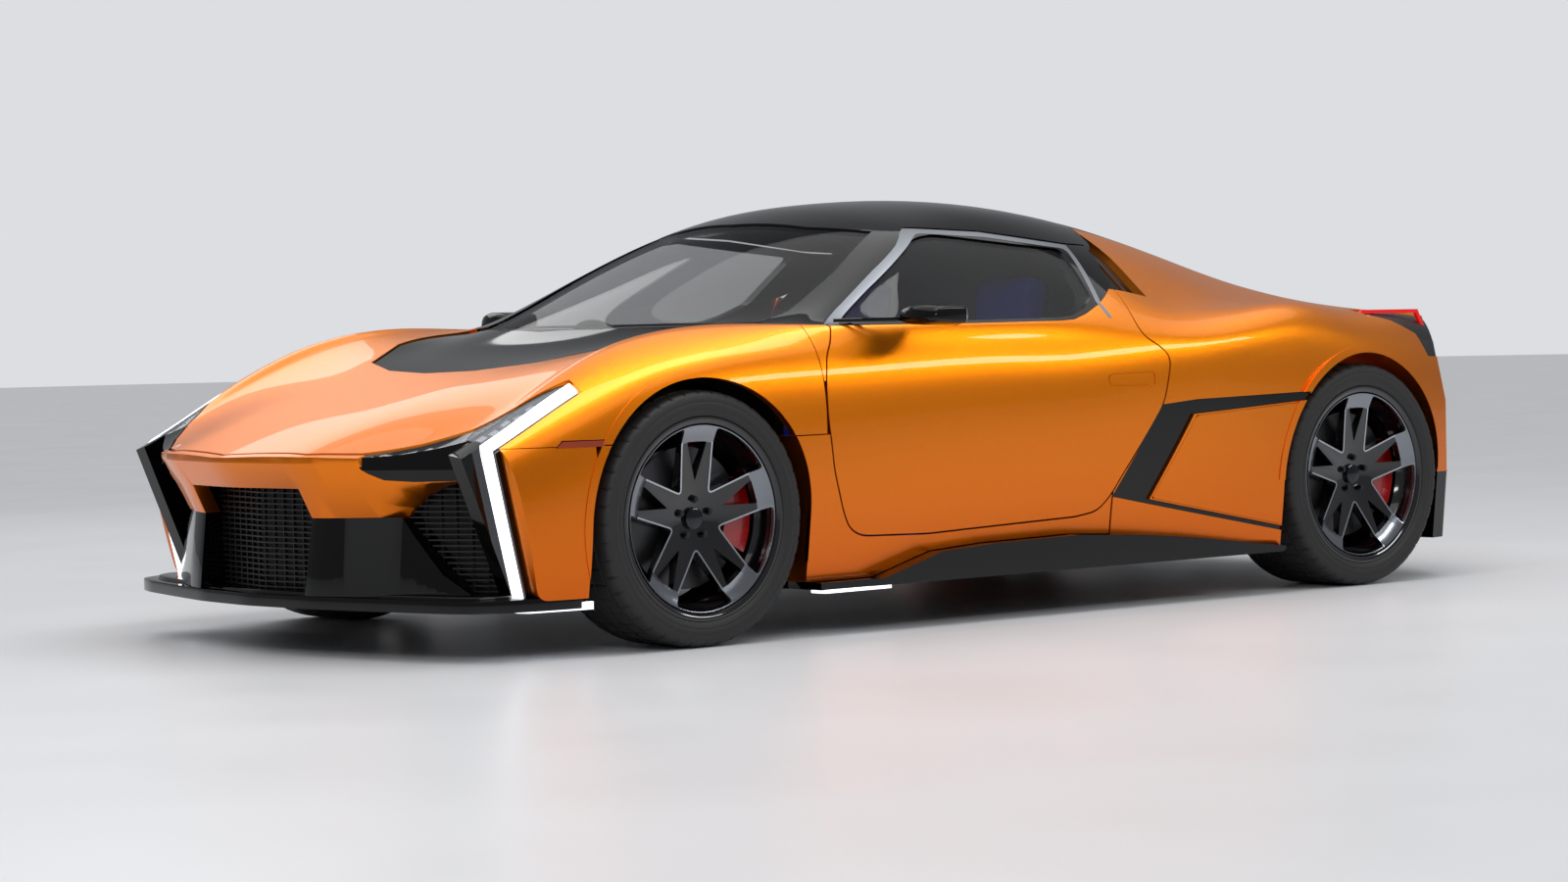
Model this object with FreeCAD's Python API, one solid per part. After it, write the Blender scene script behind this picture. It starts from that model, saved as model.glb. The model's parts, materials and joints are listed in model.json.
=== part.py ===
import FreeCAD, Part
import math
import os

V = FreeCAD.Vector

# Mid-engined electric two-seat supercar, millimetres.
# X points forward, Y to the car's left, Z up; the origin is on the floor under the middle of the car.

# Overall sizes
LENGTH = 4380
WHEELBASE = 2650
FRONT_OVERHANG = 945
NOSE_X = LENGTH / 2
FRONT_AXLE_X = NOSE_X - FRONT_OVERHANG
REAR_AXLE_X = FRONT_AXLE_X - WHEELBASE
GROUND_CLEARANCE = 125

# Wheels and tyres
TYRE_RADIUS = 344.5
RIM_RADIUS = 275.8
FRONT_TYRE_WIDTH = 265
REAR_TYRE_WIDTH = 300
SIDEWALL_Y = 924
ARCH_RADIUS = 378
TYRE_SHOULDER = 24
TYRE_BEAD_CLEARANCE = 0.3
FRONT_WELL_Y = 500
REAR_WELL_Y = 600
SPOKES = 5
SPOKE_WINDOW_HALF_DEG = 23
SPOKE_SLOT = [(100, 0), (206, 34), (206, -34)]
WINDOW_TIP_RADIUS = 84
WINDOW_RIM_RADIUS = 248
HUB_RADIUS = 74
DISC_RADIUS = 192
DISC_THICKNESS = 28
DISC_DEPTH = 98
KINGPIN_INSET = 26

# Walls, gaps and seats
PANEL = 25
FRAME_WALL = 34
GLASS = 6
GLASS_RECESS = 5
SHUT_GAP = 5
LID_GAP = 7
LID_EDGE = 3
SEAT_GAP = 0.3
SCREEN_GAP = 0.5
PILLAR_GAP = 2.5
HINGE_RELIEF = 8
HINGE_POST = (22, 50)

# Cabin and bays
CABIN_HALF = 770
CABIN_FLOOR_Z = 165
CABIN_FRONT_X = 960
CABIN_REAR_X = -560
BULKHEAD = 45
BAY_HALF = 500
BAY_REAR_X = -1640
BAY_FLOOR_Z = 330
SPLIT_Z = 556
BELT_Z = 846

# Half sections of the body from nose to tail, each at its own x.
# Columns: x, z of the centre line, then (y, z) of roof edge, cant rail, belt, crest, shoulder, flank and sill,
# and y of the floor edge
SECTIONS = [
    (2260, 508, (330, 495), (480, 470), (620, 450), (720, 430), (800, 400), (830, 340), (830, 220), 815),
    (2090, 566, (320, 556), (480, 512), (640, 500), (760, 490), (835, 460), (860, 380), (852, 230), 830),
    (1890, 631, (340, 634), (600, 586), (710, 572), (790, 562), (848, 535), (880, 440), (874, 250), 855),
    (1640, 704, (380, 706), (620, 704), (705, 704), (775, 712), (876, 640), (917, 510), (908, 270), 885),
    (1430, 757, (420, 765), (600, 787), (680, 800), (752, 812), (878, 745), (933, 610), (925, 290), 900),
    (1200, 802, (480, 800), (620, 826), (700, 844), (765, 856), (885, 785), (940, 630), (932, 300), 905),
    (1000, 892, (430, 844), (620, 838), (720, 852), (790, 860), (884, 788), (932, 620), (915, 300), 890),
    (750, 1000, (655, 860), (760, 850), (824, 850), (842, 846), (878, 790), (924, 610), (897, 300), 875),
    (450, 1130, (583, 1024), (722, 985), (852, 846), (864, 838), (882, 785), (921, 605), (888, 300), 866),
    (200, 1203, (478, 1148), (606, 1116), (856, 846), (868, 836), (886, 780), (920, 605), (884, 300), 862),
    (-150, 1226, (455, 1188), (610, 1094), (856, 846), (870, 834), (888, 780), (924, 610), (884, 300), 862),
    (-430, 1212, (445, 1164), (622, 1066), (800, 925), (874, 838), (906, 782), (932, 615), (890, 300), 868),
    (-700, 1160, (425, 1126), (606, 1026), (770, 885), (880, 822), (926, 776), (942, 620), (904, 300), 880),
    (-980, 1085, (405, 1060), (575, 968), (722, 880), (862, 862), (930, 800), (947, 640), (925, 310), 900),
    (-1160, 1035, (390, 1012), (545, 930), (690, 862), (838, 896), (925, 815), (947, 635), (932, 315), 910),
    (-1400, 975, (368, 950), (505, 892), (655, 845), (812, 856), (912, 780), (946, 628), (936, 320), 912),
    (-1700, 908, (345, 894), (480, 862), (625, 843), (785, 843), (866, 768), (918, 600), (908, 330), 885),
    (-1960, 868, (330, 860), (455, 850), (595, 840), (735, 822), (812, 742), (858, 590), (852, 330), 830),
    (-2260, 838, (310, 834), (430, 826), (560, 812), (660, 788), (728, 715), (775, 580), (770, 330), 750),
]

# Plan outline of the body, half, (x, y) from nose to tail
NOSE_PLAN = [
    (NOSE_X, 0), (2140, 320), (2052, 500), (1985, 620), (1925, 720), (1880, 800), (1800, 872), (1640, 960),
]
TAIL_PLAN = [(-1770, 934), (-1900, 834), (-1980, 734), (-2050, 620), (-2125, 420), (-2170, 200), (-NOSE_X, 0)]
# How far the tail leans forwards of that outline at each height
TAIL_LEAN = [(0, 45), (335, 0), (560, 0), (860, 85), (1300, 85)]

# Side view outline of the door, (x, y of the skin there, z)
DOOR_OUTLINE = [
    (716, 846, 848), (744, 870, 803), (779, 892, 766), (803, 917, 688), (806, 925, 603), (782, 919, 457),
    (740, 904, 342), (712, 895, 292), (665, 892, 269), (406, 885, 261), (-176, 885, 278), (-261, 890, 290),
    (-306, 895, 328), (-500, 932, 594), (-536, 928, 731), (-500, 918, 765), (-457, 905, 790), (-443, 880, 828),
    (-470, 768, 941), (-534, 587, 1067), (-440, 612, 1071), (-100, 586, 1111), (160, 601, 1124),
]
BELT_POINTS = [
    (716, 852), (640, 850), (200, 846), (-150, 846), (-210, 849), (-270, 864), (-350, 892), (-400, 914),
    (-480, 952),
]
GLASS_OUTLINE = [
    (655, 838, 860), (215, 632, 1083), (160, 617, 1099), (95, 607, 1106), (-385, 636, 1058), (-340, 800, 912),
    (-268, 838, 876), (-208, 856, 859), (-150, 860, 856), (200, 858, 856),
]
HINGE_X = 816
DOOR_TAPER = 0.10
DOOR_TOOL_OUT = 1000
DOOR_TOOL_IN = 400
HINGE_PLATES = (640, 740)

# Plan lines that divide the upper body, (x, y) on the left half
HOOD_EDGE = [(2036, 470), (1940, 592), (1840, 688), (1735, 742), (1590, 782), (1590, 838), (1880, 838)]
COWL_FRONT = [(1490, 0), (1468, 200), (1390, 400), (1180, 560), (900, 668), (826, 690)]
SCREEN_BASE = [(1092, 0), (1062, 220), (985, 420), (880, 570), (805, 628)]
SCREEN_SIDE = [(710, 648), (490, 600), (250, 498)]
HEADER = [(262, 470), (330, 300), (364, 0)]
FRAME_INNER = [(900, 740), (716, 740), (470, 690), (155, 575), (-600, 560)]
DOOR_TOP = [(716, 852), (454, 742), (160, 616), (-100, 600), (-440, 626), (-536, 602)]
ROOF_REAR = [(-575, 560), (-621, 430), (-643, 0)]
HATCH_HALF_FRONT = 430
HATCH_HALF_REAR = 350
HATCH_FRONT_X = -650
HATCH_REAR_X = -1730
HATCH_LEDGE = 28

# Side panel outlines behind the door, (x, z)
BLADE = [
    (-498, 591), (-319, 328), (-466, 300), (-1040, 190), (-1040, 202), (-470, 312), (-629, 560), (-1130, 586),
    (-1130, 610), (-640, 602),
]
INTAKE_PANEL = [(-642, 554), (-482, 316), (-1040, 208), (-1130, 208), (-1130, 580)]
SIDE_PAINT_LOW = [
    (920, 150), (616, 150), (396, 211), (206, 222), (-143, 228), (-406, 214), (-655, 191), (-1040, 145),
]
SKIRT_TOP_GAP = 2

# Mirrors
# Sections of the mirror pod from its arm outwards: y, rear x, front x, bottom z, top z, corner
MIRROR_POD = [(915, 408, 532, 846, 898, 14), (1000, 388, 545, 838, 906, 22), (1062, 400, 520, 846, 898, 26)]
MIRROR_ARM = [(694, 820), (545, 925), (430, 925), (590, 860), (625, 820)]
MIRROR_ARM_Z = (858, 870)

# Front lid, and the painted corner between lid, door and the foot of the windscreen pillar
LID_REAR_X = 813
LID_INNER = [(1494, 0), (1472, 205), (1394, 406), (1184, 566), (904, 676), (800, 703), (800, 0)]
SCUTTLE_CORNER = [(807, 685.8), (716.5, 852.3), (700, 1000), (807, 1000)]
SCUTTLE_LOW_Z = 715

# Light line and black wedge at each rear corner, (x, z), and how far the wedge lies below the skin
TAIL_LINE = [(-1518, 838), (-1545, 853), (-1806, 851), (-1872, 736), (-1846, 696)]
TAIL_LINE_INNER = [(-1834, 702), (-1858, 738), (-1798, 839), (-1549, 841), (-1526, 829)]
TAIL_LINE_Y = (788, 800)
LAMP_WEDGE = [
    (-1500, 848), (-1549, 835), (-1630, 818), (-1733, 774), (-1760, 702), (-2000, 690), (-2000, 900),
    (-1500, 900),
]
WEDGE_Y = 740

# Nose and splitter: depth at each height, then outlines from the front (y, z), above (x, y) or the side (x, z)
NOSE_TAPER = [(125, 62), (165, 62), (372, 88), (445, 52), (520, 0), (600, 0)]
NOSE_DEPTH = 62
NOSE_FACE = [
    (0, 445), (252, 445), (300, 372), (548, 372), (604, 396), (604, 436), (508, 482), (470, 620), (0, 640),
]
PILLAR_FACE = [(296, 371.7), (546, 371.7), (600, 300), (716, 165.3), (306, 165.3)]
SPLITTER_PLAN = [
    (2110, 0), (2088, 250), (2036, 480), (1985, 690), (1945, 792), (1870, 846), (1740, 876), (1612, 884),
    (1612, 700), (1560, 480), (1560, 0),
]
SPLITTER_Z = (130, 165)
GRILLE_SLATS_Z = range(188, 440, 26)
BAR_FACE = [
    (1597, 800), (1893, 800), (1893, 549), (1790, 120), (1605, 120), (1605, 152), (1750, 152),
    (1846, 536), (1597, 668),
]
BAR_Y = (787, 829)
HOUSING_FACE = [(1597, 800), (1960, 800), (1960, 549), (1800, 165.3), (1700, 165.3), (1790, 470), (1597, 600)]
HOUSING_Y = (742, 786.7)
HOUSING_PLAN = [
    (2072, 486), (1946, 602), (1846, 698), (1741, 752), (1597, 792), (1597, 787), (1960, 787), (2100, 640),
]
CORNER_FACE = [(1872, 551), (1786, 152.3), (1606, 152.3), (1606, 551)]

# Tail
DIFFUSER_TOP = 335
DIFFUSER_FINS = (-560, -380, -200, 0, 200, 380, 560)
DIFFUSER_FIN = 14

# Cabin: outlines from the side, (x, z)
SEAT_Y = 350
SEAT_HALF = 235
SEAT_SIDE = [
    (-290, 165.3), (170, 165.3), (196, 300), (140, 338), (-230, 285), (-392, 760), (-470, 770),
    (-372, 230),
]
SEAT_BOLSTER = [
    (-290, 165.3), (150, 165.3), (150, 372), (60, 385), (-190, 360), (-330, 740), (-470, 745), (-372, 230),
]
HEADREST = [(-392, 761), (-470, 771), (-506, 960), (-430, 985), (-392, 930)]
DASH_SIDE = [(959.7, 560), (959.7, 815), (800, 828), (720, 800), (690, 730), (700, 660), (780, 600)]
WHEEL_Y = -SEAT_Y
WHEEL_CENTRE = (560, 705)
WHEEL_TILT = 24

# Jacking pads, (x, y), and running gear
JACK_PADS = ((620, 660), (-420, 660))
JACK_PAD_RADIUS = 35
JACK_PAD_HEIGHT = 8
KNUCKLE_Z = 150.5
BALL_RADIUS = 16
ARM_RADIUS = 13


def mirrored(shape):
    return shape.mirror(V(0, 0, 0), V(0, 1, 0))


def both(shape):
    return Part.makeCompound([shape, mirrored(shape)])


def joined(shapes):
    whole = shapes[0]
    for shape in shapes[1:]:
        whole = whole.fuse(shape)
    return whole.removeSplitter()


def face_of(points):
    return Part.Face(Part.makePolygon(points + [points[0]]))


def prism_y(points, y0, y1):
    return face_of([V(x, y0, z) for x, z in points]).extrude(V(0, y1 - y0, 0))


def prism_z(points, z0, z1):
    return face_of([V(x, y, z0) for x, y in points]).extrude(V(0, 0, z1 - z0))


def prism_x(points, x0, x1):
    return face_of([V(x0, y, z) for y, z in points]).extrude(V(x1 - x0, 0, 0))


def box(x0, x1, y0, y1, z0, z1):
    return Part.makeBox(x1 - x0, y1 - y0, z1 - z0, V(x0, y0, z0))


def largest(shape):
    return max(shape.Solids, key=lambda s: s.Volume)


def grown(points, distance):
    """Offset a closed 2-D outline outwards by a distance, with mitred corners."""
    area = sum(a[0] * b[1] - b[0] * a[1] for a, b in zip(points, points[1:] + points[:1]))
    turn = 1 if area > 0 else -1
    moved = []
    count = len(points)
    for i, point in enumerate(points):
        before, after = points[i - 1], points[(i + 1) % count]
        normals = []
        for a, b in ((before, point), (point, after)):
            dx, dy = b[0] - a[0], b[1] - a[1]
            size = math.hypot(dx, dy)
            normals.append((turn * dy / size, -turn * dx / size))
        mx, my = normals[0][0] + normals[1][0], normals[0][1] + normals[1][1]
        scale = distance * 2 / max(mx * mx + my * my, 1.0)
        moved.append((point[0] + mx * scale, point[1] + my * scale))
    return moved


def arc_edge(start, middle, end):
    """Parabola through three points, light to cut and close to the round of the panel."""
    control = middle * 2 - (start + end) * 0.5
    curve = Part.BezierCurve()
    curve.setPoles([start, control, end])
    return curve.toShape()


def half_chain(row, inset):
    """Half section points from the centre line to the floor, moved inwards by a wall."""
    centre_z, floor_y = row[1], row[9]
    chain = [(0, centre_z)] + list(row[2:9]) + [(floor_y, GROUND_CLEARANCE)]
    if inset == 0:
        return chain
    inner = []
    for i, (y, z) in enumerate(chain):
        normals = []
        for j in (i - 1, i):
            if 0 <= j < len(chain) - 1:
                dy, dz = chain[j + 1][0] - chain[j][0], chain[j + 1][1] - chain[j][1]
                size = math.hypot(dy, dz)
                normals.append((dz / size, -dy / size))
        ny = sum(n[0] for n in normals)
        nz = sum(n[1] for n in normals)
        if i == 0:
            ny, nz = 0, -1
        scale = inset / math.hypot(ny, nz)
        inner.append((y + ny * scale, z + nz * scale))
    inner[-1] = (inner[-1][0], GROUND_CLEARANCE + inset)
    return inner


def section_wire(row, inset):
    x = row[0]
    left = [V(x, y, z) for y, z in half_chain(row, inset)]
    right = [V(x, -p.y, p.z) for p in left]
    centre, roof, cant, belt, crest, shoulder, flank, sill, floor = left
    edges = [
        arc_edge(right[1], centre, roof),
        Part.makeLine(roof, cant),
        Part.makeLine(cant, belt),
        arc_edge(belt, crest, shoulder),
        arc_edge(shoulder, flank, sill),
        Part.makeLine(sill, floor),
        Part.makeLine(floor, right[8]),
        Part.makeLine(right[8], right[7]),
        arc_edge(right[7], right[6], right[5]),
        arc_edge(right[5], right[4], right[3]),
        Part.makeLine(right[3], right[2]),
        Part.makeLine(right[2], right[1]),
    ]
    return Part.Wire(edges)


def tail_lean(z):
    for (low, a), (high, b) in zip(TAIL_LEAN, TAIL_LEAN[1:]):
        if low <= z <= high:
            return a + (b - a) * (z - low) / (high - low)


def plan_prism(shift, z0, z1):
    """Body plan outline, moved back from the nose and forward from the tail by shift."""
    wires = []
    for z in [z0] + [level for level, _ in TAIL_LEAN if z0 < level < z1] + [z1]:
        half = [(x - shift, y) for x, y in NOSE_PLAN] + [(x + shift + tail_lean(z), y) for x, y in TAIL_PLAN]
        ring = half + [(x, -y) for x, y in reversed(half[1:-1])]
        wires.append(Part.makePolygon([V(x, y, z) for x, y in ring + ring[:1]]))
    return Part.makeLoft(wires, True, True)


BODY_TOP = 1300
FORMS = {}


def form(inset=0):
    """The whole car as one closed shape, its skin moved in by a wall."""
    if inset not in FORMS:
        solid = Part.makeLoft([section_wire(row, inset) for row in SECTIONS], True, True)
        FORMS[inset] = solid.common(plan_prism(inset, 0, BODY_TOP))
    return FORMS[inset]


def skin(wall, outset=0):
    return form(outset).cut(form(outset + wall))


def nose_prism(shift, z0, z1):
    """Front half of the body plan, moved back from the nose by shift."""
    half = [(x - shift, y) for x, y in NOSE_PLAN] + [(0, NOSE_PLAN[-1][1])]
    return prism_z(half + [(x, -y) for x, y in reversed(half[1:])], z0, z1)


def plan_region(half, z0=500, z1=BODY_TOP):
    other = [(x, -y) for x, y in reversed(half) if y > 0]
    return prism_z(half + other, z0, z1)


def door_tool(outline, grow=0.0):
    """Side-view outline carried inwards with the taper that lets the door swing out."""
    flat = []
    for x, y, z in outline:
        k = 1 - DOOR_TAPER * (DOOR_TOOL_OUT - y) / (DOOR_TOOL_OUT - DOOR_TOOL_IN)
        flat.append((HINGE_X + (x - HINGE_X) / k, z))
    flat = grown(flat, grow) if grow else flat
    inner = [(HINGE_X + (x - HINGE_X) * (1 - DOOR_TAPER), z) for x, z in flat]
    wires = [
        Part.makePolygon([V(x, DOOR_TOOL_OUT, z) for x, z in flat + flat[:1]]),
        Part.makePolygon([V(x, DOOR_TOOL_IN, z) for x, z in inner + inner[:1]]),
    ]
    return Part.makeLoft(wires, True, True)


def wheel_well(axle_x, inner_y):
    """Round well from the inner wall out through the side."""
    return Part.makeCylinder(ARCH_RADIUS, 1000 - inner_y, V(axle_x, inner_y, TYRE_RADIUS), V(0, 1, 0))


def well_box(axle_x, inner_y):
    """Room below the axle, open to the road."""
    return box(axle_x - ARCH_RADIUS, axle_x + ARCH_RADIUS, inner_y, 1000, 0, TYRE_RADIUS)


def wells():
    cuts = []
    for axle_x, inner_y in ((FRONT_AXLE_X, FRONT_WELL_Y), (REAR_AXLE_X, REAR_WELL_Y)):
        left = wheel_well(axle_x, inner_y).fuse(well_box(axle_x, inner_y))
        cuts += [left, mirrored(left)]
    return cuts


# Doors: painted lower door, window frame and glass
def door():
    below = BELT_POINTS + [(-700, BELT_POINTS[-1][1]), (-700, 200), (900, 200), (900, BELT_POINTS[0][1])]
    body = form().common(door_tool(DOOR_OUTLINE)).common(prism_y(below, DOOR_TOOL_IN, DOOR_TOOL_OUT))
    body = body.cut(box(-700, 900, 0, CABIN_HALF, 0, BODY_TOP))
    return largest(body)


def window_frame():
    above = [(x, z + 1) for x, z in BELT_POINTS]
    above += [(-700, above[-1][1]), (-700, BODY_TOP), (900, BODY_TOP), (900, above[0][1])]
    ring = form().cut(form(FRAME_WALL)).common(door_tool(DOOR_OUTLINE))
    ring = ring.common(prism_y(above, DOOR_TOOL_IN, DOOR_TOOL_OUT))
    inboard = prism_z(FRAME_INNER + [(FRAME_INNER[-1][0], 0), (FRAME_INNER[0][0], 0)], BELT_Z, BODY_TOP)
    return largest(ring.cut(door_tool(GLASS_OUTLINE)).cut(inboard))


def door_glass():
    pane = skin(GLASS, GLASS_RECESS).common(door_tool(GLASS_OUTLINE, -SEAT_GAP))
    return largest(pane.common(box(-900, 900, 300, 900, BELT_Z, BODY_TOP)))


def door_hole():
    return door_tool(DOOR_OUTLINE, SHUT_GAP)


def mirror_pod():
    """Slim pod held by a flat arm off the front corner of the belt."""
    wires = []
    for y, x0, x1, z0, z1, c in MIRROR_POD:
        ring = [(x0, z0 + c), (x0 + c, z0), (x1 - c, z0), (x1, z0 + c)]
        ring += [(x1, z1 - c), (x1 - c, z1), (x0 + c, z1), (x0, z1 - c)]
        wires.append(Part.makePolygon([V(x, y, z) for x, z in ring + ring[:1]]))
    pod = Part.makeLoft(wires, True, True)
    return largest(pod.fuse(prism_z(MIRROR_ARM, *MIRROR_ARM_Z)).cut(form(0)))


# Front lid, cowl, screen and roof


def lid_plan():
    front = [(NOSE_X - PANEL - LID_EDGE, 0), (2112, 320)] + HOOD_EDGE + [(1880, 1000)]
    return front + [(LID_REAR_X, 1000)]


def front_lid():
    region = plan_region(lid_plan())
    lid = skin(PANEL).common(region).cut(plan_region(LID_INNER))
    lid = lid.cut(box(0, 2300, -1000, 1000, 0, 505))
    low_side = box(0, 1900, 560, 1000, 0, SPLIT_Z)
    for cut in [low_side, mirrored(low_side)] + wells():
        lid = lid.cut(cut)
    for hole in (door_hole(), mirrored(door_hole())):
        lid = lid.cut(hole)
    return largest(lid)


def scuttle_corners():
    corner = skin(PANEL).common(prism_z(SCUTTLE_CORNER, SCUTTLE_LOW_Z, BODY_TOP))
    return both(largest(corner.cut(door_hole())))


def cowl_panel():
    region = plan_region(COWL_FRONT + [(812, 632)] + list(reversed(SCREEN_BASE)))
    return largest(skin(14, 4).common(region))


def windscreen():
    inside = [(x - SCREEN_GAP, y) for x, y in SCREEN_BASE]
    header = [(x + SCREEN_GAP, y) for x, y in HEADER]
    sides = [(x + PILLAR_GAP, y - PILLAR_GAP) for x, y in SCREEN_SIDE]
    region = plan_region(inside + sides + header, 700)
    pane = skin(GLASS, GLASS_RECESS).common(region)
    return largest(pane)


def roof():
    pillars = list(reversed(SCREEN_SIDE)) + [(805, 630)]
    outline = list(reversed(HEADER)) + pillars + [(806, 686)] + DOOR_TOP + ROOF_REAR
    region = plan_region(outline, BELT_Z - 8)
    panel = skin(PANEL).common(region)
    for hole in (door_hole(), mirrored(door_hole())):
        panel = panel.cut(hole)
    return largest(panel)


def hatch_plan(grow=0.0):
    front = HATCH_FRONT_X + grow
    rear = HATCH_REAR_X - grow
    return [(front, 0), (front + 22, HATCH_HALF_FRONT + grow), (rear, HATCH_HALF_REAR + grow), (rear, 0)]


def rear_hatch():
    return largest(skin(PANEL).common(plan_region(hatch_plan(), 600)))


# Rear body with buttresses, haunches and tail
def rear_body():
    rear = form().common(box(-2300, -300, -1000, 1000, GROUND_CLEARANCE, BODY_TOP))
    roof_line = list(reversed(HEADER)) + [(300, 500), (300, 640)] + DOOR_TOP[-1:]
    roof_line += [(-581, 563), (-623, 433), (-654, 0)]
    hatch_seat = skin(PANEL + SEAT_GAP).common(plan_region(hatch_plan(LID_GAP), 600))
    cuts = [plan_region(roof_line, 700), hatch_seat, plan_region(hatch_plan(-HATCH_LEDGE), BAY_FLOOR_Z)]
    cuts += [box(CABIN_REAR_X - BULKHEAD, 0, -CABIN_HALF, CABIN_HALF, 0, BODY_TOP)]
    cuts += [box(BAY_REAR_X, CABIN_REAR_X, -BAY_HALF, BAY_HALF, 0, 700)]
    cuts += wells()
    cuts += [tail_recess(), box(-2300, BAY_REAR_X, -1000, 1000, 0, DIFFUSER_TOP)]
    low = [(x, z - SKIRT_TOP_GAP) for x, z in SIDE_PAINT_LOW] + [(-1040, 0), (920, 0)]
    side_cuts = [door_hole(), tail_line(SEAT_GAP), prism_y(grown(BLADE, 1), 860, 1000)]
    side_cuts += [prism_y(grown(INTAKE_PANEL, 1), 880, 1000)]
    side_cuts += [prism_y(LAMP_WEDGE, WEDGE_Y, 1000), prism_y(low, 300, 1000)]
    side_cuts += [box(-322, 0, 0, 1000, 0, BODY_TOP)]
    for cut in side_cuts:
        cuts += [cut, mirrored(cut)]
    for cut in cuts:
        rear = rear.cut(cut)
    return largest(rear)


def tail_recess():
    z0, z1 = 560, 792
    shifted = plan_prism(70, z0, z1)
    outer = box(-2300, -1900, -700, 700, z0, z1)
    return outer.cut(shifted)


def tail_fascia():
    """Black panel that fills the recess across the tail, with the black lamp wedge at each corner."""
    z0, z1 = 562, 790
    plate = plan_prism(45, z0, z1).cut(plan_prism(69, z0, z1)).common(form())
    across = largest(plate.common(box(-2300, -1900, -697, 697, z0, z1)))
    wedge = form(WEDGE_RECESS).common(prism_y(LAMP_WEDGE, WEDGE_Y + SEAT_GAP, 1000)).cut(tail_line(SEAT_GAP))
    return Part.makeCompound([across, largest(wedge), mirrored(largest(wedge))])


WEDGE_RECESS = 8


def tail_line(grow=0.0):
    """Thin red line along the upper rear corner of each haunch."""
    outline = TAIL_LINE + TAIL_LINE_INNER
    return prism_y(grown(outline, grow) if grow else outline, TAIL_LINE_Y[0] - grow, TAIL_LINE_Y[1] + grow)


def intake_blades():
    left = form(8).common(prism_y(BLADE, 861, 1000)).cut(door_hole())
    left = left.cut(wheel_well(REAR_AXLE_X, REAR_WELL_Y)).cut(well_box(REAR_AXLE_X, REAR_WELL_Y))
    return both(largest(left))


def intake_panels():
    left = form().common(prism_y(INTAKE_PANEL, 881, 1000)).cut(wheel_well(REAR_AXLE_X, REAR_WELL_Y))
    return both(largest(left))


def side_sills():
    """Painted lower flank from the front arch to the side intake."""
    outline = [(1050, 150)] + SIDE_PAINT_LOW[1:5] + [(-316, 219), (-316, 500), (700, 500)]
    outline += [(700, SPLIT_Z - 3), (1050, SPLIT_Z - 3)]
    left = form().common(prism_y(outline, CABIN_HALF + SEAT_GAP, 1000))
    left = left.cut(wheel_well(FRONT_AXLE_X, FRONT_WELL_Y)).cut(well_box(FRONT_AXLE_X, FRONT_WELL_Y))
    return both(largest(left.cut(door_hole())))


def side_skirts():
    """Black blade below the painted flank."""
    top = [(x, z - SKIRT_TOP_GAP) for x, z in SIDE_PAINT_LOW[1:]]
    outline = [(850, 148)] + top + [(-1015, 128), (850, 128)]
    left = prism_y(outline, CABIN_HALF + SEAT_GAP, 930)
    for axle, inner in ((FRONT_AXLE_X, FRONT_WELL_Y), (REAR_AXLE_X, REAR_WELL_Y)):
        left = left.cut(wheel_well(axle, inner)).cut(well_box(axle, inner))
    return both(largest(left))


def floor_tub():
    """Floor, bulkheads, tunnel and the hollow between them."""
    rear_x, front_x = CABIN_REAR_X - BULKHEAD, CABIN_FRONT_X + BULKHEAD
    floor = box(rear_x, front_x, -CABIN_HALF, CABIN_HALF, GROUND_CLEARANCE, CABIN_FLOOR_Z)
    floor = floor.cut(box(FRONT_AXLE_X - ARCH_RADIUS, 1200, FRONT_WELL_Y, 900, 0, 600))
    floor = floor.cut(box(FRONT_AXLE_X - ARCH_RADIUS, 1200, -900, -FRONT_WELL_Y, 0, 600))
    rear = box(rear_x, CABIN_REAR_X, -CABIN_HALF, CABIN_HALF, CABIN_FLOOR_Z, 1100).common(form(PANEL + 1))
    front = box(CABIN_FRONT_X, CABIN_FRONT_X + BULKHEAD, -FRONT_WELL_Y, FRONT_WELL_Y, CABIN_FLOOR_Z, 800)
    tunnel = box(CABIN_REAR_X, CABIN_FRONT_X, -110, 110, CABIN_FLOOR_Z, 350)
    post_rear, post_front = HINGE_X + HINGE_POST[0], HINGE_X + HINGE_POST[1]
    post = box(post_rear, post_front, 640, CABIN_HALF, CABIN_FLOOR_Z, 800)
    plates = [box(HINGE_X - 60, post_front, 720, 850, z - 18, z + 18) for z in HINGE_PLATES]
    post = joined([post] + plates).cut(door_tool(DOOR_OUTLINE, SEAT_GAP)).common(form(PANEL + 8))
    post = largest(post)
    parts = [floor, rear, front, tunnel, post, mirrored(post)]
    for x, y in JACK_PADS:
        pad = Part.makeCylinder(JACK_PAD_RADIUS, JACK_PAD_HEIGHT, V(x, y, GROUND_CLEARANCE - JACK_PAD_HEIGHT))
        parts += [pad, mirrored(pad)]
    return largest(joined(parts))


def drive_unit():
    """Motor and gearbox as one block on two rails between the bay's side walls."""
    rails = [box(x, x + 60, -BAY_HALF + SEAT_GAP, BAY_HALF - SEAT_GAP, 420, 460) for x in (-1590, -1280)]
    return joined([box(-1620, -1190, -300, 300, 190, 520)] + rails)


def battery_pack():
    return box(-1150, CABIN_REAR_X - BULKHEAD, -440, 440, 190, 560)


# Nose: panel, pillars, splitter, grilles, lamps and painted corners


def tapered_nose():
    """Plan outline carried down with the undercut of the bumper."""
    wires = []
    for z, shift in NOSE_TAPER:
        half = [(x - shift, y) for x, y in NOSE_PLAN[:-1]] + [(1500, 872)]
        ring = half + [(x, -y) for x, y in reversed(half[1:])]
        wires.append(Part.makePolygon([V(x, y, z) for x, y in ring + ring[:1]]))
    return Part.makeLoft(wires, True, True)


def lid_seat(gap=SEAT_GAP):
    """Room for the lid in what lies under and before it."""
    return skin(PANEL + gap).common(plan_region(grown_half(lid_plan(), LID_GAP)))


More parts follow.
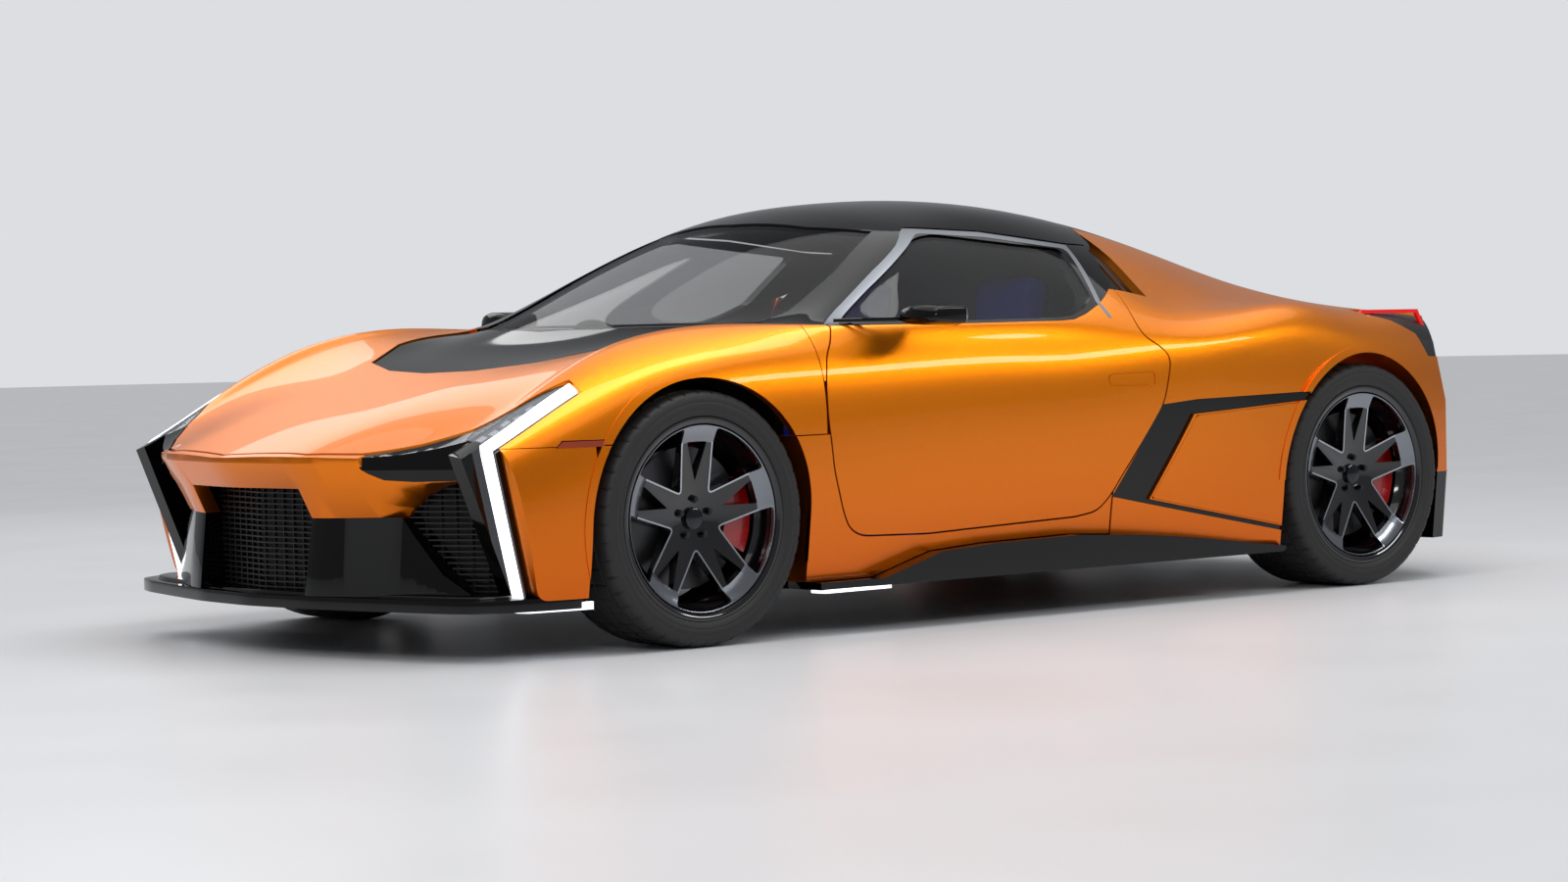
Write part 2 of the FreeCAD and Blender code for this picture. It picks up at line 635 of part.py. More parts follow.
def grown_half(half, distance):
    other = [(x, -y) for x, y in reversed(half) if y > 0]
    moved = grown(half + other, distance)
    return [(x, y if abs(y) > 1e-6 else 0) for x, y in moved[:len(half)]]


def nose_panel():
    block = form().common(tapered_nose())
    face = NOSE_FACE + [(-y, z) for y, z in reversed(NOSE_FACE) if y > 0]
    nose = block.common(prism_x(face, 1800, 2300)).cut(nose_prism(NOSE_DEPTH + 60, 0, 700))
    return largest(nose.cut(lid_seat(HINGE_RELIEF)))


def pillar():
    """Black upright between the centre and side intakes."""
    block = tapered_nose().common(prism_x(PILLAR_FACE, 1850, 2300)).cut(nose_prism(NOSE_DEPTH + 90, 0, 700))
    return largest(block.translated(V(0, 0, -SEAT_GAP)))


def splitter():
    blade = prism_z(SPLITTER_PLAN + [(x, -y) for x, y in reversed(SPLITTER_PLAN) if y > 0], *SPLITTER_Z)
    shape = joined([blade, pillar(), mirrored(pillar())])
    lamp_room = prism_y(grown(BAR_FACE, SEAT_GAP), BAR_Y[0] - SEAT_GAP, BAR_Y[1] + SEAT_GAP)
    corner_room = prism_y(grown(CORNER_FACE, SEAT_GAP), BAR_Y[1], 1000)
    for cut in (well_box(FRONT_AXLE_X, FRONT_WELL_Y), lamp_room, corner_room):
        shape = shape.cut(cut).cut(mirrored(cut))
    return largest(shape)


def grille(y0, y1, z0, z1, shift, slat):
    """Backing plate with level slats that follow the plan of the nose."""
    plate = nose_prism(shift, z0, z1).cut(nose_prism(shift + 8, z0, z1))
    slats = nose_prism(shift - slat, z0, z1).cut(nose_prism(shift, z0, z1))
    rows = [slats.common(box(1500, 2300, -900, 900, z, z + 8)) for z in GRILLE_SLATS_Z if z + 8 < z1]
    whole_grille = joined([plate] + rows)
    return largest(whole_grille.common(box(1500, 2300, y0, y1, z0, z1)))


def grilles():
    side = grille(610, 741, SPLITTER_Z[1] + SEAT_GAP, 470, 96, 16)
    side = largest(side.cut(pillar()).cut(nose_panel()))
    centre = grille(-296, 296, SPLITTER_Z[1] + SEAT_GAP, 442, 160, 18)
    return Part.makeCompound([centre, side, mirrored(side)])


def light_bars():
    return both(largest(form().common(prism_y(BAR_FACE, *BAR_Y))))


def lamp_housings():
    spear = form().common(prism_z(HOUSING_PLAN, 472, 800))
    leg = form().common(prism_y(HOUSING_FACE, *HOUSING_Y))
    housing = spear.fuse(leg).cut(lid_seat()).cut(box(1500, 2300, -1000, HOUSING_Y[0] - 260, 0, 900))
    return both(largest(housing.cut(wheel_well(FRONT_AXLE_X, FRONT_WELL_Y))))


def front_corners():
    left = form().common(prism_y(CORNER_FACE, BAR_Y[1] + SEAT_GAP, 1000))
    left = left.cut(wheel_well(FRONT_AXLE_X, FRONT_WELL_Y)).cut(well_box(FRONT_AXLE_X, FRONT_WELL_Y))
    return both(largest(left))


def front_structure():
    """Crash box and luggage tray under the front lid, with the beam that carries nose and lamps."""
    tray_front = FRONT_AXLE_X + 330
    tray = box(CABIN_FRONT_X + BULKHEAD, tray_front, -490, 490, 166, 640)
    tray = tray.cut(box(1090, 1480, -380, 380, 320, 800))
    beam = box(tray_front, 2010, -290, 290, 200, 440)
    wings_half = HOUSING_Y[0] - SEAT_GAP
    wings = box(1650, 1780, -wings_half, wings_half, 300, 440)
    shape = joined([tray, beam, wings]).common(form(PANEL + 20))
    for cut in wells() + [plan_shell_cut()]:
        shape = shape.cut(cut)
    return largest(shape)


def plan_shell_cut():
    """What lies ahead of the grilles' back faces."""
    return box(1500, 2400, -1000, 1000, 0, 700).cut(nose_prism(170, 0, 700))


# Tail: diffuser and lamps


def diffuser():
    base = form().common(box(-2300, BAY_REAR_X - SEAT_GAP, -1000, 1000, 0, DIFFUSER_TOP - SEAT_GAP))
    ramp = prism_y([(BAY_REAR_X - 100, 120), (-2400, 120), (-2400, 400), (-2180, 285)], -1000, 1000)
    channels = base.cut(ramp.common(box(-2400, -1700, -640, 640, 0, 400)))
    half = DIFFUSER_FIN / 2
    fins = [base.common(box(-2140, -1760, y - half, y + half, 150, 334)) for y in DIFFUSER_FINS]
    shape = joined([largest(channels)] + fins)
    for cut in wells():
        shape = shape.cut(cut)
    return largest(shape)


def tail_lamp_set():
    left = tail_line()
    bar = plan_prism(30, 768, 780).cut(plan_prism(45, 768, 780))
    bar = bar.common(box(-2300, -1900, -690, 690, 700, 800))
    return Part.makeCompound([left, mirrored(left), largest(bar)])


# Cabin: seats, dashboard and steering wheel


def seat():
    middle = prism_y(SEAT_SIDE, SEAT_Y - SEAT_HALF + 1, SEAT_Y + SEAT_HALF - 1)
    sides = [prism_y(SEAT_BOLSTER, y, y + 60) for y in (SEAT_Y - SEAT_HALF, SEAT_Y + SEAT_HALF - 60)]
    head = prism_y(HEADREST, SEAT_Y - 130, SEAT_Y + 130)
    return largest(joined([middle, head] + sides))


def dashboard():
    beside_posts = box(HINGE_X - 76, 1000, 634, 800, 0, 900)
    return prism_y(DASH_SIDE, -745, 745).cut(beside_posts).cut(mirrored(beside_posts))


def steering_wheel():
    x, z = WHEEL_CENTRE
    axis = V(math.cos(math.radians(WHEEL_TILT)), 0, math.sin(math.radians(-WHEEL_TILT)))
    centre = V(x, WHEEL_Y, z)
    rim = Part.makeTorus(172, 15, centre, axis)
    hub = Part.makeCylinder(52, 30, centre - axis * 10, axis)
    column = Part.makeCylinder(26, 190, centre, axis)
    shapes = [rim, hub, column]
    across = V(0, 1, 0)
    for direction in (across, across * -1, axis.cross(across)):
        shapes.append(Part.makeCylinder(12, 172, centre, direction))
    wheel = shapes[0]
    for shape in shapes[1:]:
        wheel = wheel.fuse(shape)
    return largest(wheel.cut(dashboard()))


# Running gear


def depth_y(depth):
    return SIDEWALL_Y - depth


def turned(profile, axle_x):
    """Revolve a (depth, radius) profile about the axle of a left wheel."""
    points = [V(axle_x, depth_y(d), TYRE_RADIUS + r) for d, r in profile]
    return face_of(points).revolve(V(axle_x, 0, TYRE_RADIUS), V(0, 1, 0), 360)


def tyre(axle_x, width):
    w = width
    bead = RIM_RADIUS + TYRE_BEAD_CLEARANCE
    edge = TYRE_RADIUS - 5
    profile = [
        (6, bead), (0, 300), (3, 326), (TYRE_SHOULDER / 2, edge), (TYRE_SHOULDER + 8, TYRE_RADIUS),
        (w - TYRE_SHOULDER - 8, TYRE_RADIUS), (w - TYRE_SHOULDER / 2, edge),
        (w - 3, 326), (w, 300), (w - 6, bead),
    ]
    return turned(profile, axle_x)


def spoke_slot(axle_x, angle):
    """Long triangle that parts a spoke into its two arms."""
    points = []
    for along, across in SPOKE_SLOT:
        x = along * math.cos(angle) - across * math.sin(angle)
        z = along * math.sin(angle) + across * math.cos(angle)
        points.append(V(axle_x + x, 0, TYRE_RADIUS + z))
    return face_of(points).extrude(V(0, 1000, 0))


def rim(axle_x, width):
    """Deep-dished wheel: barrel, five broad spokes and V-shaped windows between them."""
    w = width
    barrel = turned([
        (10, RIM_RADIUS), (22, RIM_RADIUS), (24, 262), (60, 258), (84, 240), (w - 62, 240), (w - 32, 262),
        (w - 24, RIM_RADIUS), (w - 12, RIM_RADIUS), (w - 12, 266), (w - 30, 250), (w - 58, 229), (78, 229),
        (54, 247), (30, 250), (10, 264),
    ], axle_x)
    face = turned([(62, 0), (60, HUB_RADIUS), (27, 251), (44, 251), (80, 120), (DISC_DEPTH - SEAT_GAP, HUB_RADIUS),
                   (DISC_DEPTH - SEAT_GAP, 0)], axle_x)
    half = math.radians(SPOKE_WINDOW_HALF_DEG)
    for i in range(SPOKES):
        middle = math.radians(-90 + i * 360 / SPOKES)
        corners = [
            (WINDOW_TIP_RADIUS, middle), (WINDOW_RIM_RADIUS, middle - half),
            (WINDOW_RIM_RADIUS, middle), (WINDOW_RIM_RADIUS, middle + half),
        ]
        points = [V(axle_x + r * math.cos(a), 0, TYRE_RADIUS + r * math.sin(a)) for r, a in corners]
        outline = Part.Wire([
            Part.makeLine(points[0], points[1]),
            Part.Arc(points[1], points[2], points[3]).toShape(),
            Part.makeLine(points[3], points[0]),
        ])
        face = face.cut(Part.Face(outline).extrude(V(0, 1000, 0)))
        face = face.cut(spoke_slot(axle_x, middle + math.pi / SPOKES))
    return barrel.fuse(face).removeSplitter()


def brake_disc(axle_x):
    front, back = DISC_DEPTH, DISC_DEPTH + DISC_THICKNESS
    plate = turned([(front, 118), (front, DISC_RADIUS), (back, DISC_RADIUS), (back, 118)], axle_x)
    bell = turned([(front, 0), (front, 119), (front + 14, 119), (back, 74), (back, 0)], axle_x)
    return largest(plate.fuse(bell).removeSplitter())


def caliper(axle_x):
    """Six-piston block over the rear edge of the disc."""
    outer, inner = DISC_DEPTH - 16, DISC_DEPTH + DISC_THICKNESS + 13
    corners = ((outer, 130), (outer, 218), (inner, 218), (inner, 130))
    side = [V(axle_x, depth_y(d), TYRE_RADIUS + r) for d, r in corners]
    block = face_of(side)
    block.rotate(V(axle_x, 0, TYRE_RADIUS), V(0, 1, 0), -62)
    block = block.revolve(V(axle_x, 0, TYRE_RADIUS), V(0, 1, 0), -56)
    slot_y = depth_y(DISC_DEPTH + DISC_THICKNESS + 5)
    slot = Part.makeCylinder(DISC_RADIUS + 5, DISC_THICKNESS + 10, V(axle_x, slot_y, TYRE_RADIUS), V(0, 1, 0))
    return block.cut(slot)


def upright(axle_x, kingpin_y):
    """Hub carrier between the two ball joints, with the lug that holds the caliper."""
    low, high = TYRE_RADIUS - KNUCKLE_Z, TYRE_RADIUS + KNUCKLE_Z
    top, bottom = high - BALL_RADIUS - SEAT_GAP, low + BALL_RADIUS + SEAT_GAP
    post = box(axle_x - 26, axle_x + 26, kingpin_y - 18, kingpin_y + 16, bottom, top)
    hub_end = depth_y(DISC_DEPTH + DISC_THICKNESS) - SEAT_GAP
    hub = Part.makeCylinder(58, hub_end - kingpin_y + 24, V(axle_x, kingpin_y - 24, TYRE_RADIUS), V(0, 1, 0))
    lug_end = depth_y(DISC_DEPTH + DISC_THICKNESS + 13)
    lug = box(axle_x - 205, axle_x - 20, kingpin_y - 16, lug_end - SEAT_GAP, TYRE_RADIUS - 30, TYRE_RADIUS + 30)
    return joined([post, hub, lug])


def wishbones(axle_x, kingpin_y, wall_y):
    """Upper and lower arms that end in a ball joint on the kingpin line."""
    arms = []
    for z in (TYRE_RADIUS - KNUCKLE_Z, TYRE_RADIUS + KNUCKLE_Z):
        ball = V(axle_x, kingpin_y, z)
        pair = Part.makeSphere(BALL_RADIUS, ball)
        for dx in (-120, 120):
            foot = V(axle_x + dx, wall_y, z)
            run = ball - foot
            pair = pair.fuse(Part.makeCylinder(ARM_RADIUS, run.Length, foot, run))
        arms.append(largest(pair.common(box(-2300, 2300, wall_y, 1000, 0, 700))))
    return arms


def front_kingpin_y():
    return depth_y(FRONT_TYRE_WIDTH / 2) - KINGPIN_INSET


def rear_kingpin_y():
    return front_kingpin_y()


def suspension_arms():
    front = wishbones(FRONT_AXLE_X, front_kingpin_y(), 490)
    rear = wishbones(REAR_AXLE_X, rear_kingpin_y(), REAR_WELL_Y)
    arms = front + rear
    return Part.makeCompound(arms + [mirrored(a) for a in arms])


# Every piece by its name
NODES = {
    "floor_tub": floor_tub(),
    "front_structure": front_structure(),
    "nose_panel": nose_panel(),
    "splitter": splitter(),
    "grilles": grilles(),
    "light_bars": light_bars(),
    "lamp_housings": lamp_housings(),
    "front_corners": front_corners(),
    "scuttle_corners": scuttle_corners(),
    "cowl_panel": cowl_panel(),
    "windscreen": windscreen(),
    "roof": roof(),
    "rear_body": rear_body(),
    "intake_blades": intake_blades(),
    "intake_panels": intake_panels(),
    "side_sills": side_sills(),
    "side_skirts": side_skirts(),
    "tail_fascia": tail_fascia(),
    "tail_lamps": tail_lamp_set(),
    "diffuser": diffuser(),
    "seats": both(seat()),
    "dashboard": dashboard(),
    "steering_wheel": steering_wheel(),
    "battery_pack": battery_pack(),
    "drive_unit": drive_unit(),
    "suspension_arms": suspension_arms(),
    "rear_uprights": both(upright(REAR_AXLE_X, rear_kingpin_y())),
    "rear_calipers": both(caliper(REAR_AXLE_X)),
    "front_lid": front_lid(),
    "rear_hatch": rear_hatch(),
}
LEFT_NODES = {
    "door": door(),
    "window_frame": window_frame(),
    "door_glass": door_glass(),
    "mirror": mirror_pod(),
    "knuckle": upright(FRONT_AXLE_X, front_kingpin_y()),
    "caliper": caliper(FRONT_AXLE_X),
    "front_disc": brake_disc(FRONT_AXLE_X),
    "front_rim": rim(FRONT_AXLE_X, FRONT_TYRE_WIDTH),
    "front_tyre": tyre(FRONT_AXLE_X, FRONT_TYRE_WIDTH),
    "rear_disc": brake_disc(REAR_AXLE_X),
    "rear_rim": rim(REAR_AXLE_X, REAR_TYRE_WIDTH),
    "rear_tyre": tyre(REAR_AXLE_X, REAR_TYRE_WIDTH),
}
for name, shape in LEFT_NODES.items():
    NODES[name + "_left"] = shape
    NODES[name + "_right"] = mirrored(shape)

os.makedirs("parts", exist_ok=True)
for name, shape in NODES.items():
    shape.exportStep("parts/%s.step" % name)
    print(name, shape.isValid(), len(shape.Solids), round(shape.Volume / 1e6, 2), len(shape.Faces))
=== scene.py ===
import json
import math

import bpy
from mathutils import Matrix, Vector
from mathutils.bvhtree import BVHTree


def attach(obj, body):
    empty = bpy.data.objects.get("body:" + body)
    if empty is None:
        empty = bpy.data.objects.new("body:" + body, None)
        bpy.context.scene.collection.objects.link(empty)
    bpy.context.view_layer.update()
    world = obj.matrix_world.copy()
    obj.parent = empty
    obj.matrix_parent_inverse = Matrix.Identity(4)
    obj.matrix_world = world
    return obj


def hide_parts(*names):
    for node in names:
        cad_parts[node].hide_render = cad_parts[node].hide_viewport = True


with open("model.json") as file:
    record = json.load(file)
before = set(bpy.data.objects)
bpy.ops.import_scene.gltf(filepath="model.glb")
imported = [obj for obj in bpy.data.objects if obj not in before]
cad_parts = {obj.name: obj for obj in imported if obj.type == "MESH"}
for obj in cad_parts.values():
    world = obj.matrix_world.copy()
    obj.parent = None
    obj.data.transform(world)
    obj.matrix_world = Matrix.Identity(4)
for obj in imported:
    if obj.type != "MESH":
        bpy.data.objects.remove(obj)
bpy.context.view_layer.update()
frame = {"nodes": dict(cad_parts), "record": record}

MM = 0.001

# Shape of the body, millimetres, as on the section drawings from nose to tail.
# Columns: x, z of the centre line, then (y, z) of roof edge, cant rail, belt, crest, shoulder, flank and
# sill, and y of the floor edge.
SECTIONS = [
    (2260, 508, (330, 495), (480, 470), (620, 450), (720, 430), (800, 400), (830, 340), (830, 220), 815),
    (2090, 566, (320, 556), (480, 512), (640, 500), (760, 490), (835, 460), (860, 380), (852, 230), 830),
    (1890, 631, (340, 634), (600, 586), (710, 572), (790, 562), (848, 535), (880, 440), (874, 250), 855),
    (1640, 704, (380, 706), (620, 704), (705, 704), (775, 712), (876, 640), (917, 510), (908, 270), 885),
    (1430, 757, (420, 765), (600, 787), (680, 800), (752, 812), (878, 745), (933, 610), (925, 290), 900),
    (1200, 802, (480, 800), (620, 826), (700, 844), (765, 856), (885, 785), (940, 630), (932, 300), 905),
    (1000, 892, (430, 844), (620, 838), (720, 852), (790, 860), (884, 788), (932, 620), (915, 300), 890),
    (750, 1000, (655, 860), (760, 850), (824, 850), (842, 846), (878, 790), (924, 610), (897, 300), 875),
    (450, 1130, (583, 1024), (722, 985), (852, 846), (864, 838), (882, 785), (921, 605), (888, 300), 866),
    (200, 1203, (478, 1148), (606, 1116), (856, 846), (868, 836), (886, 780), (920, 605), (884, 300), 862),
    (-150, 1226, (455, 1188), (610, 1094), (856, 846), (870, 834), (888, 780), (924, 610), (884, 300), 862),
    (-430, 1212, (445, 1164), (622, 1066), (800, 925), (874, 838), (906, 782), (932, 615), (890, 300), 868),
    (-700, 1160, (425, 1126), (606, 1026), (770, 885), (880, 822), (926, 776), (942, 620), (904, 300), 880),
    (-980, 1085, (405, 1060), (575, 968), (722, 880), (862, 862), (930, 800), (947, 640), (925, 310), 900),
    (-1160, 1035, (390, 1012), (545, 930), (690, 862), (838, 896), (925, 815), (947, 635), (932, 315), 910),
    (-1400, 975, (368, 950), (505, 892), (655, 845), (812, 856), (912, 780), (946, 628), (936, 320), 912),
    (-1700, 908, (345, 894), (480, 862), (625, 843), (785, 843), (866, 768), (918, 600), (908, 330), 885),
    (-1960, 868, (330, 860), (455, 850), (595, 840), (735, 822), (812, 742), (858, 590), (852, 330), 830),
    (-2260, 838, (310, 834), (430, 826), (560, 812), (660, 788), (728, 715), (775, 580), (770, 330), 750),
]
FLOOR_Z = 125
STATION_STEP = 20
BLEND_STATIONS = 5
CURVE_STEPS = (10, 5, 8, 16, 16, 4, 6)
# How far each joint of the section is rounded: roof edge, cant rail, belt, shoulder, sill, floor edge
JOINT_SOFTNESS = (1.0, 1.0, 0.8, 0.7, 0.5, 0.0)
ROUNDING_PASSES = 6

FRONT_AXLE_X = 1245
REAR_AXLE_X = -1405
TYRE_RADIUS = 344.5
ARCH_RADIUS = 378
FRONT_WELL_Y = 500
REAR_WELL_Y = 600
PANEL = 25
FRAME_WALL = 34
GLASS = 6
GLASS_RECESS = 5
SHUT_GAP = 5
LID_GAP = 7
SEAT_GAP = 0.3
CABIN_HALF = 770
ROUND_STEPS = 160
SMOOTH_DEG = 32
HINGE_X = 816
DOOR_TAPER = 0.10
DOOR_TOOL_OUT = 1000
DOOR_TOOL_IN = 400
BELT_Z = 846
SPLIT_Z = 556
BODY_TOP = 1300
BODY_LOW = 500
# Past the body's side and ends, for the blocks that cut it
PAST_SIDE = 1000
PAST_END = 2300

# Plan outline of the body, half, (x, y) from nose to tail
NOSE_PLAN = [
    (2190, 0), (2140, 320), (2052, 500), (1985, 620), (1925, 720), (1880, 800), (1800, 872), (1640, 960),
]
TAIL_PLAN = [(-1770, 934), (-1900, 834), (-1980, 734), (-2050, 620), (-2125, 420), (-2170, 200), (-2190, 0)]
# How far the tail leans forwards of that outline at each height
TAIL_LEAN = [(0, 45), (335, 0), (560, 0), (860, 85), (1300, 85)]

# Door outline as (x, y of the skin there, z), then the belt line and the window opening
DOOR_OUTLINE = [
    (716, 846, 848), (744, 870, 803), (779, 892, 766), (803, 917, 688), (806, 925, 603), (782, 919, 457),
    (740, 904, 342), (712, 895, 292), (665, 892, 269), (406, 885, 261), (-176, 885, 278), (-261, 890, 290),
    (-306, 895, 328), (-500, 932, 594), (-536, 928, 731), (-500, 918, 765), (-457, 905, 790),
    (-443, 880, 828), (-470, 768, 941), (-534, 587, 1067), (-440, 612, 1071), (-100, 586, 1111),
    (160, 601, 1124),
]
DOOR_TIPS = (0, 19)
BELT_POINTS = [
    (716, 852), (640, 850), (200, 846), (-150, 846), (-210, 849), (-270, 864), (-350, 892), (-400, 914),
    (-480, 952),
]
GLASS_OUTLINE = [
    (655, 838, 860), (215, 632, 1083), (160, 617, 1099), (95, 607, 1106), (-385, 636, 1058), (-340, 800, 912),
    (-268, 838, 876), (-208, 856, 859), (-150, 860, 856), (200, 858, 856),
]
GLASS_TIPS = (0,)
# Outer edge of the bright strip round the door glass, (x, y of the skin there, z)
TRIM_LINE = [(716, 846, 848), (160, 601, 1124), (-100, 586, 1111), (-436, 613, 1070), (-360, 823, 895)]
TRIM_WIDTH = 15
TRIM_RISE = 0.6
HANDLE = [(-468, 649), (-283, 653), (-283, 688), (-468, 691)]
HANDLE_LINE = 2.2
HANDLE_Y = 880
# Mirror pod from its arm outwards, (y, rear x, front x, bottom z, top z, corner), and its arm in plan
MIRROR_POD = [
    (918, 402, 530, 848, 896, 20), (960, 396, 538, 842, 902, 24), (1010, 394, 538, 841, 903, 26),
    (1058, 400, 516, 850, 896, 22),
]
MIRROR_ARM = [(694, 820), (545, 930), (430, 930), (590, 860), (625, 820)]
MIRROR_ARM_HOLE = [(655, 836), (560, 905), (520, 905), (604, 862), (636, 836)]
MIRROR_ARM_Z = (859, 869)
MIRROR_CENTRE = (460, 990, 872)
# Bright edge and glass of the mirror: scale and span in x; room round the pod in y and z
MIRROR_EDGE_SCALE = (1, 1.03, 1.07)
MIRROR_EDGE_X = (398, 408)
MIRROR_GLASS_SCALE = (1.02, 0.9, 0.82)
MIRROR_GLASS_X = (380, 397)
MIRROR_ROOM = (850, 1100, 800, 950)

# Plan lines that divide the upper body, (x, y) on the left half
HOOD_EDGE = [(2036, 470), (1940, 592), (1840, 688), (1735, 742), (1590, 782), (1590, 838), (1880, 838)]
LID_REAR_X = 813
LID_PLAN = [(2162, 0), (2112, 320)] + HOOD_EDGE + [(1880, 1000), (LID_REAR_X, 1000), (LID_REAR_X, 0)]
LID_LOW_Z = 505
# Where the lid ends at the split line of the flank
LID_FLANK_X = (0, 1900)
LID_FLANK_Y = 560
LID_INNER = [(1494, 0), (1472, 205), (1394, 406), (1184, 566), (904, 676), (800, 703), (800, 0)]
SCUTTLE_CORNER = [(810, 684), (716.5, 852.3), (700, 1000), (810, 1000)]
SCUTTLE_LOW_Z = 700
COWL_FRONT = [(1490, 0), (1468, 200), (1390, 400), (1180, 560), (900, 668), (826, 690)]
COWL_DEPTHS = (4, 18)
SCREEN_BASE = [(1092, 0), (1062, 220), (985, 420), (880, 570), (805, 628)]
SCREEN_SIDE = [(710, 648), (490, 600), (250, 498)]
HEADER = [(262, 470), (330, 300), (364, 0)]
DOOR_TOP = [(716, 852), (454, 742), (160, 616), (-100, 600), (-440, 626), (-536, 602)]
FRAME_INNER = [(900, 740), (716, 740), (470, 690), (155, 575), (-600, 560)]
ROOF_REAR = [(-575, 560), (-621, 430), (-643, 0)]
HATCH_HALF_FRONT = 430
HATCH_HALF_REAR = 350
HATCH_FRONT_X = -650
HATCH_REAR_X = -1730
HATCH_LOW_Z = 600

# Rear shell: its front, its edge under the roof (x, y), the back of the cabin, the bay under the hatch as
# (x from, x to, y from, y to, z from, z to) and its lower edge behind that bay
REAR_SHELL_X = -322
SHELL_ROOF_LINE = [(300, 500), (300, 640)] + DOOR_TOP[-1:] + [(-581, 563), (-623, 433), (-654, 0)]
CABIN_BACK_X = -605
REAR_BAY = (-1640, -560, -500, 500, 0, 700)
TAIL_LOW_Z = 335

# Side panel outlines behind and below the door, (x, z)
BLADE = [
    (-498, 591), (-319, 328), (-466, 300), (-1040, 190), (-1040, 202), (-470, 312), (-629, 560), (-1130, 586),
    (-1130, 610), (-640, 602),
]
INTAKE_PANEL = [(-642, 554), (-482, 316), (-1040, 208), (-1130, 208), (-1130, 580)]
# How deep their pockets in the rear shell reach
BLADE_Y = 860
INTAKE_Y = 880
SIDE_PAINT_LOW = [
    (920, 150), (616, 150), (396, 211), (206, 222), (-143, 228), (-406, 214), (-655, 191), (-1040, 145),
]

# Corner cut out of each haunch for the tail lamp, and the red line along its edge, (x, z)
LAMP_WEDGE = [
    (-1500, 848), (-1549, 835), (-1630, 818), (-1733, 774), (-1760, 702), (-2000, 690), (-2000, 900),
    (-1500, 900),
]
WEDGE_Y = 740
TAIL_LINE_Y = 788
# Recess across the tail: half width, bottom and top, depth
RECESS_HALF = 700
RECESS_Z = (560, 792)
RECESS_DEPTH = 70
TAIL_LINE = [
    (-1518, 838), (-1545, 853), (-1806, 851), (-1872, 736), (-1846, 696), (-1834, 702), (-1858, 738),
    (-1798, 839), (-1549, 841), (-1526, 829),
]

# Nose: how far its plan outline moves back with depth, (z, shift), for bumper and lamp blade
NOSE_TAPER = [(125, 62), (165, 62), (372, 88), (445, 52), (520, 0), (600, 0)]
NOSE_WALL = 48
SPEAR_TAPER = [(440, 45), (466, 26), (502, 4), (545, 14), (600, 40), (700, 140)]
# Outlines seen from the front, (y, z), and the two edges of the facet between nose and side intake
NOSE_FACE = [
    (0, 451), (260, 451), (262, 371), (520, 375), (541, 399), (575, 428), (640, 457), (702, 470), (702, 473),
    (606, 472), (532, 477), (500, 494), (486, 512), (470, 640), (0, 640),
]
SPEAR_INNER_Y = 470
FACET_EDGE = [(442, 368), (478, 411), (544, 450), (624, 467), (703, 471)]
FILLET_EDGE = [(520, 368), (541, 399), (575, 428), (640, 457), (703, 470)]
PILLAR_FACE = [(262, 370.5), (519, 374.5), (560, 318), (634, 224), (716, 165), (256, 165)]
SPEAR_FACE = [(480, 509), (500, 492), (532, 475), (606, 470), (786, 473), (786, 760), (480, 760)]
SPLITTER_PLAN = [
    (2110, 0), (2088, 250), (2036, 480), (1985, 690), (1945, 792), (1870, 846), (1740, 876), (1612, 884),
    (1612, 700), (1560, 480), (1560, 0),
]
SPLITTER_Z = (130, 163)
SPLITTER_LIP_BACK = 34
SPLITTER_LIP_Z = (150, 172)
# Light bar and the parts round it, (x, z) with their span in y
BAR_FACE = [
    (1597, 800), (1893, 800), (1893, 549), (1790, 122), (1720, 122), (1720, 146), (1764, 146), (1856, 538),
    (1597, 672),
]
BAR_Y = (793, 828)
BAR_ROOM = 0.5
BAR_FOOT = [(1804, 800), (1812, 826), (1796, 862), (1600, 885), (1600, 868), (1770, 842), (1766, 800)]
BAR_FOOT_Z = (126, 146)
HOUSING_Y = 742
HOUSING_FACE = [(1597, 800), (1960, 800), (1960, 549), (1800, 165), (1700, 165), (1790, 470), (1597, 600)]
BORDER_FACE = [(1597, 800), (1878, 800), (1878, 549), (1786, 150), (1700, 150), (1790, 470), (1597, 600)]
CORNER_FACE = [(1864, 554), (1776, 156), (1606, 156), (1606, 554)]
CORNER_Y = 839
MARKER = [(1721, 551), (1699, 568), (1566, 568), (1581, 551)]
SILL_LIGHT_PLAN = [(846, 880), (838, 936), (590, 929), (590, 915), (780, 900)]
SILL_LIGHT_Z = (119, 128.5)
LENS_PLAN = [(1888, 722), (1843, 700), (1738, 752), (1620, 786), (1620, 791), (1880, 791)]
LENS_Z = (566, 800)
# Reflectors under the lens: how many, outer front corner of the first, step to the next, length and width
REFLECTORS = 6
REFLECTOR_CORNER = (1868, 766)
REFLECTOR_STEP = (-36, 2.5)
REFLECTOR_SIZE = (22, 26)

# Intake grilles: (y from, y to, set back, top), and the slats and posts across them
GRILLES = ((-300, 300, 60, 446), (480, 786, 34, 466), (-786, -480, 34, 466))
GRILLE_LOW_Z = 176
SLAT_STEP = 15
SLAT_DEPTH = 16
POST_STEP = 38

# Corner behind the side window, (x, z), and the raised band round each wheel opening
QUARTER = [(-430, 860), (-640, 860), (-640, 1090), (-430, 1090)]
QUARTER_Y = 480
LIP_WIDTH = 24
LIP_RISE = 2.5
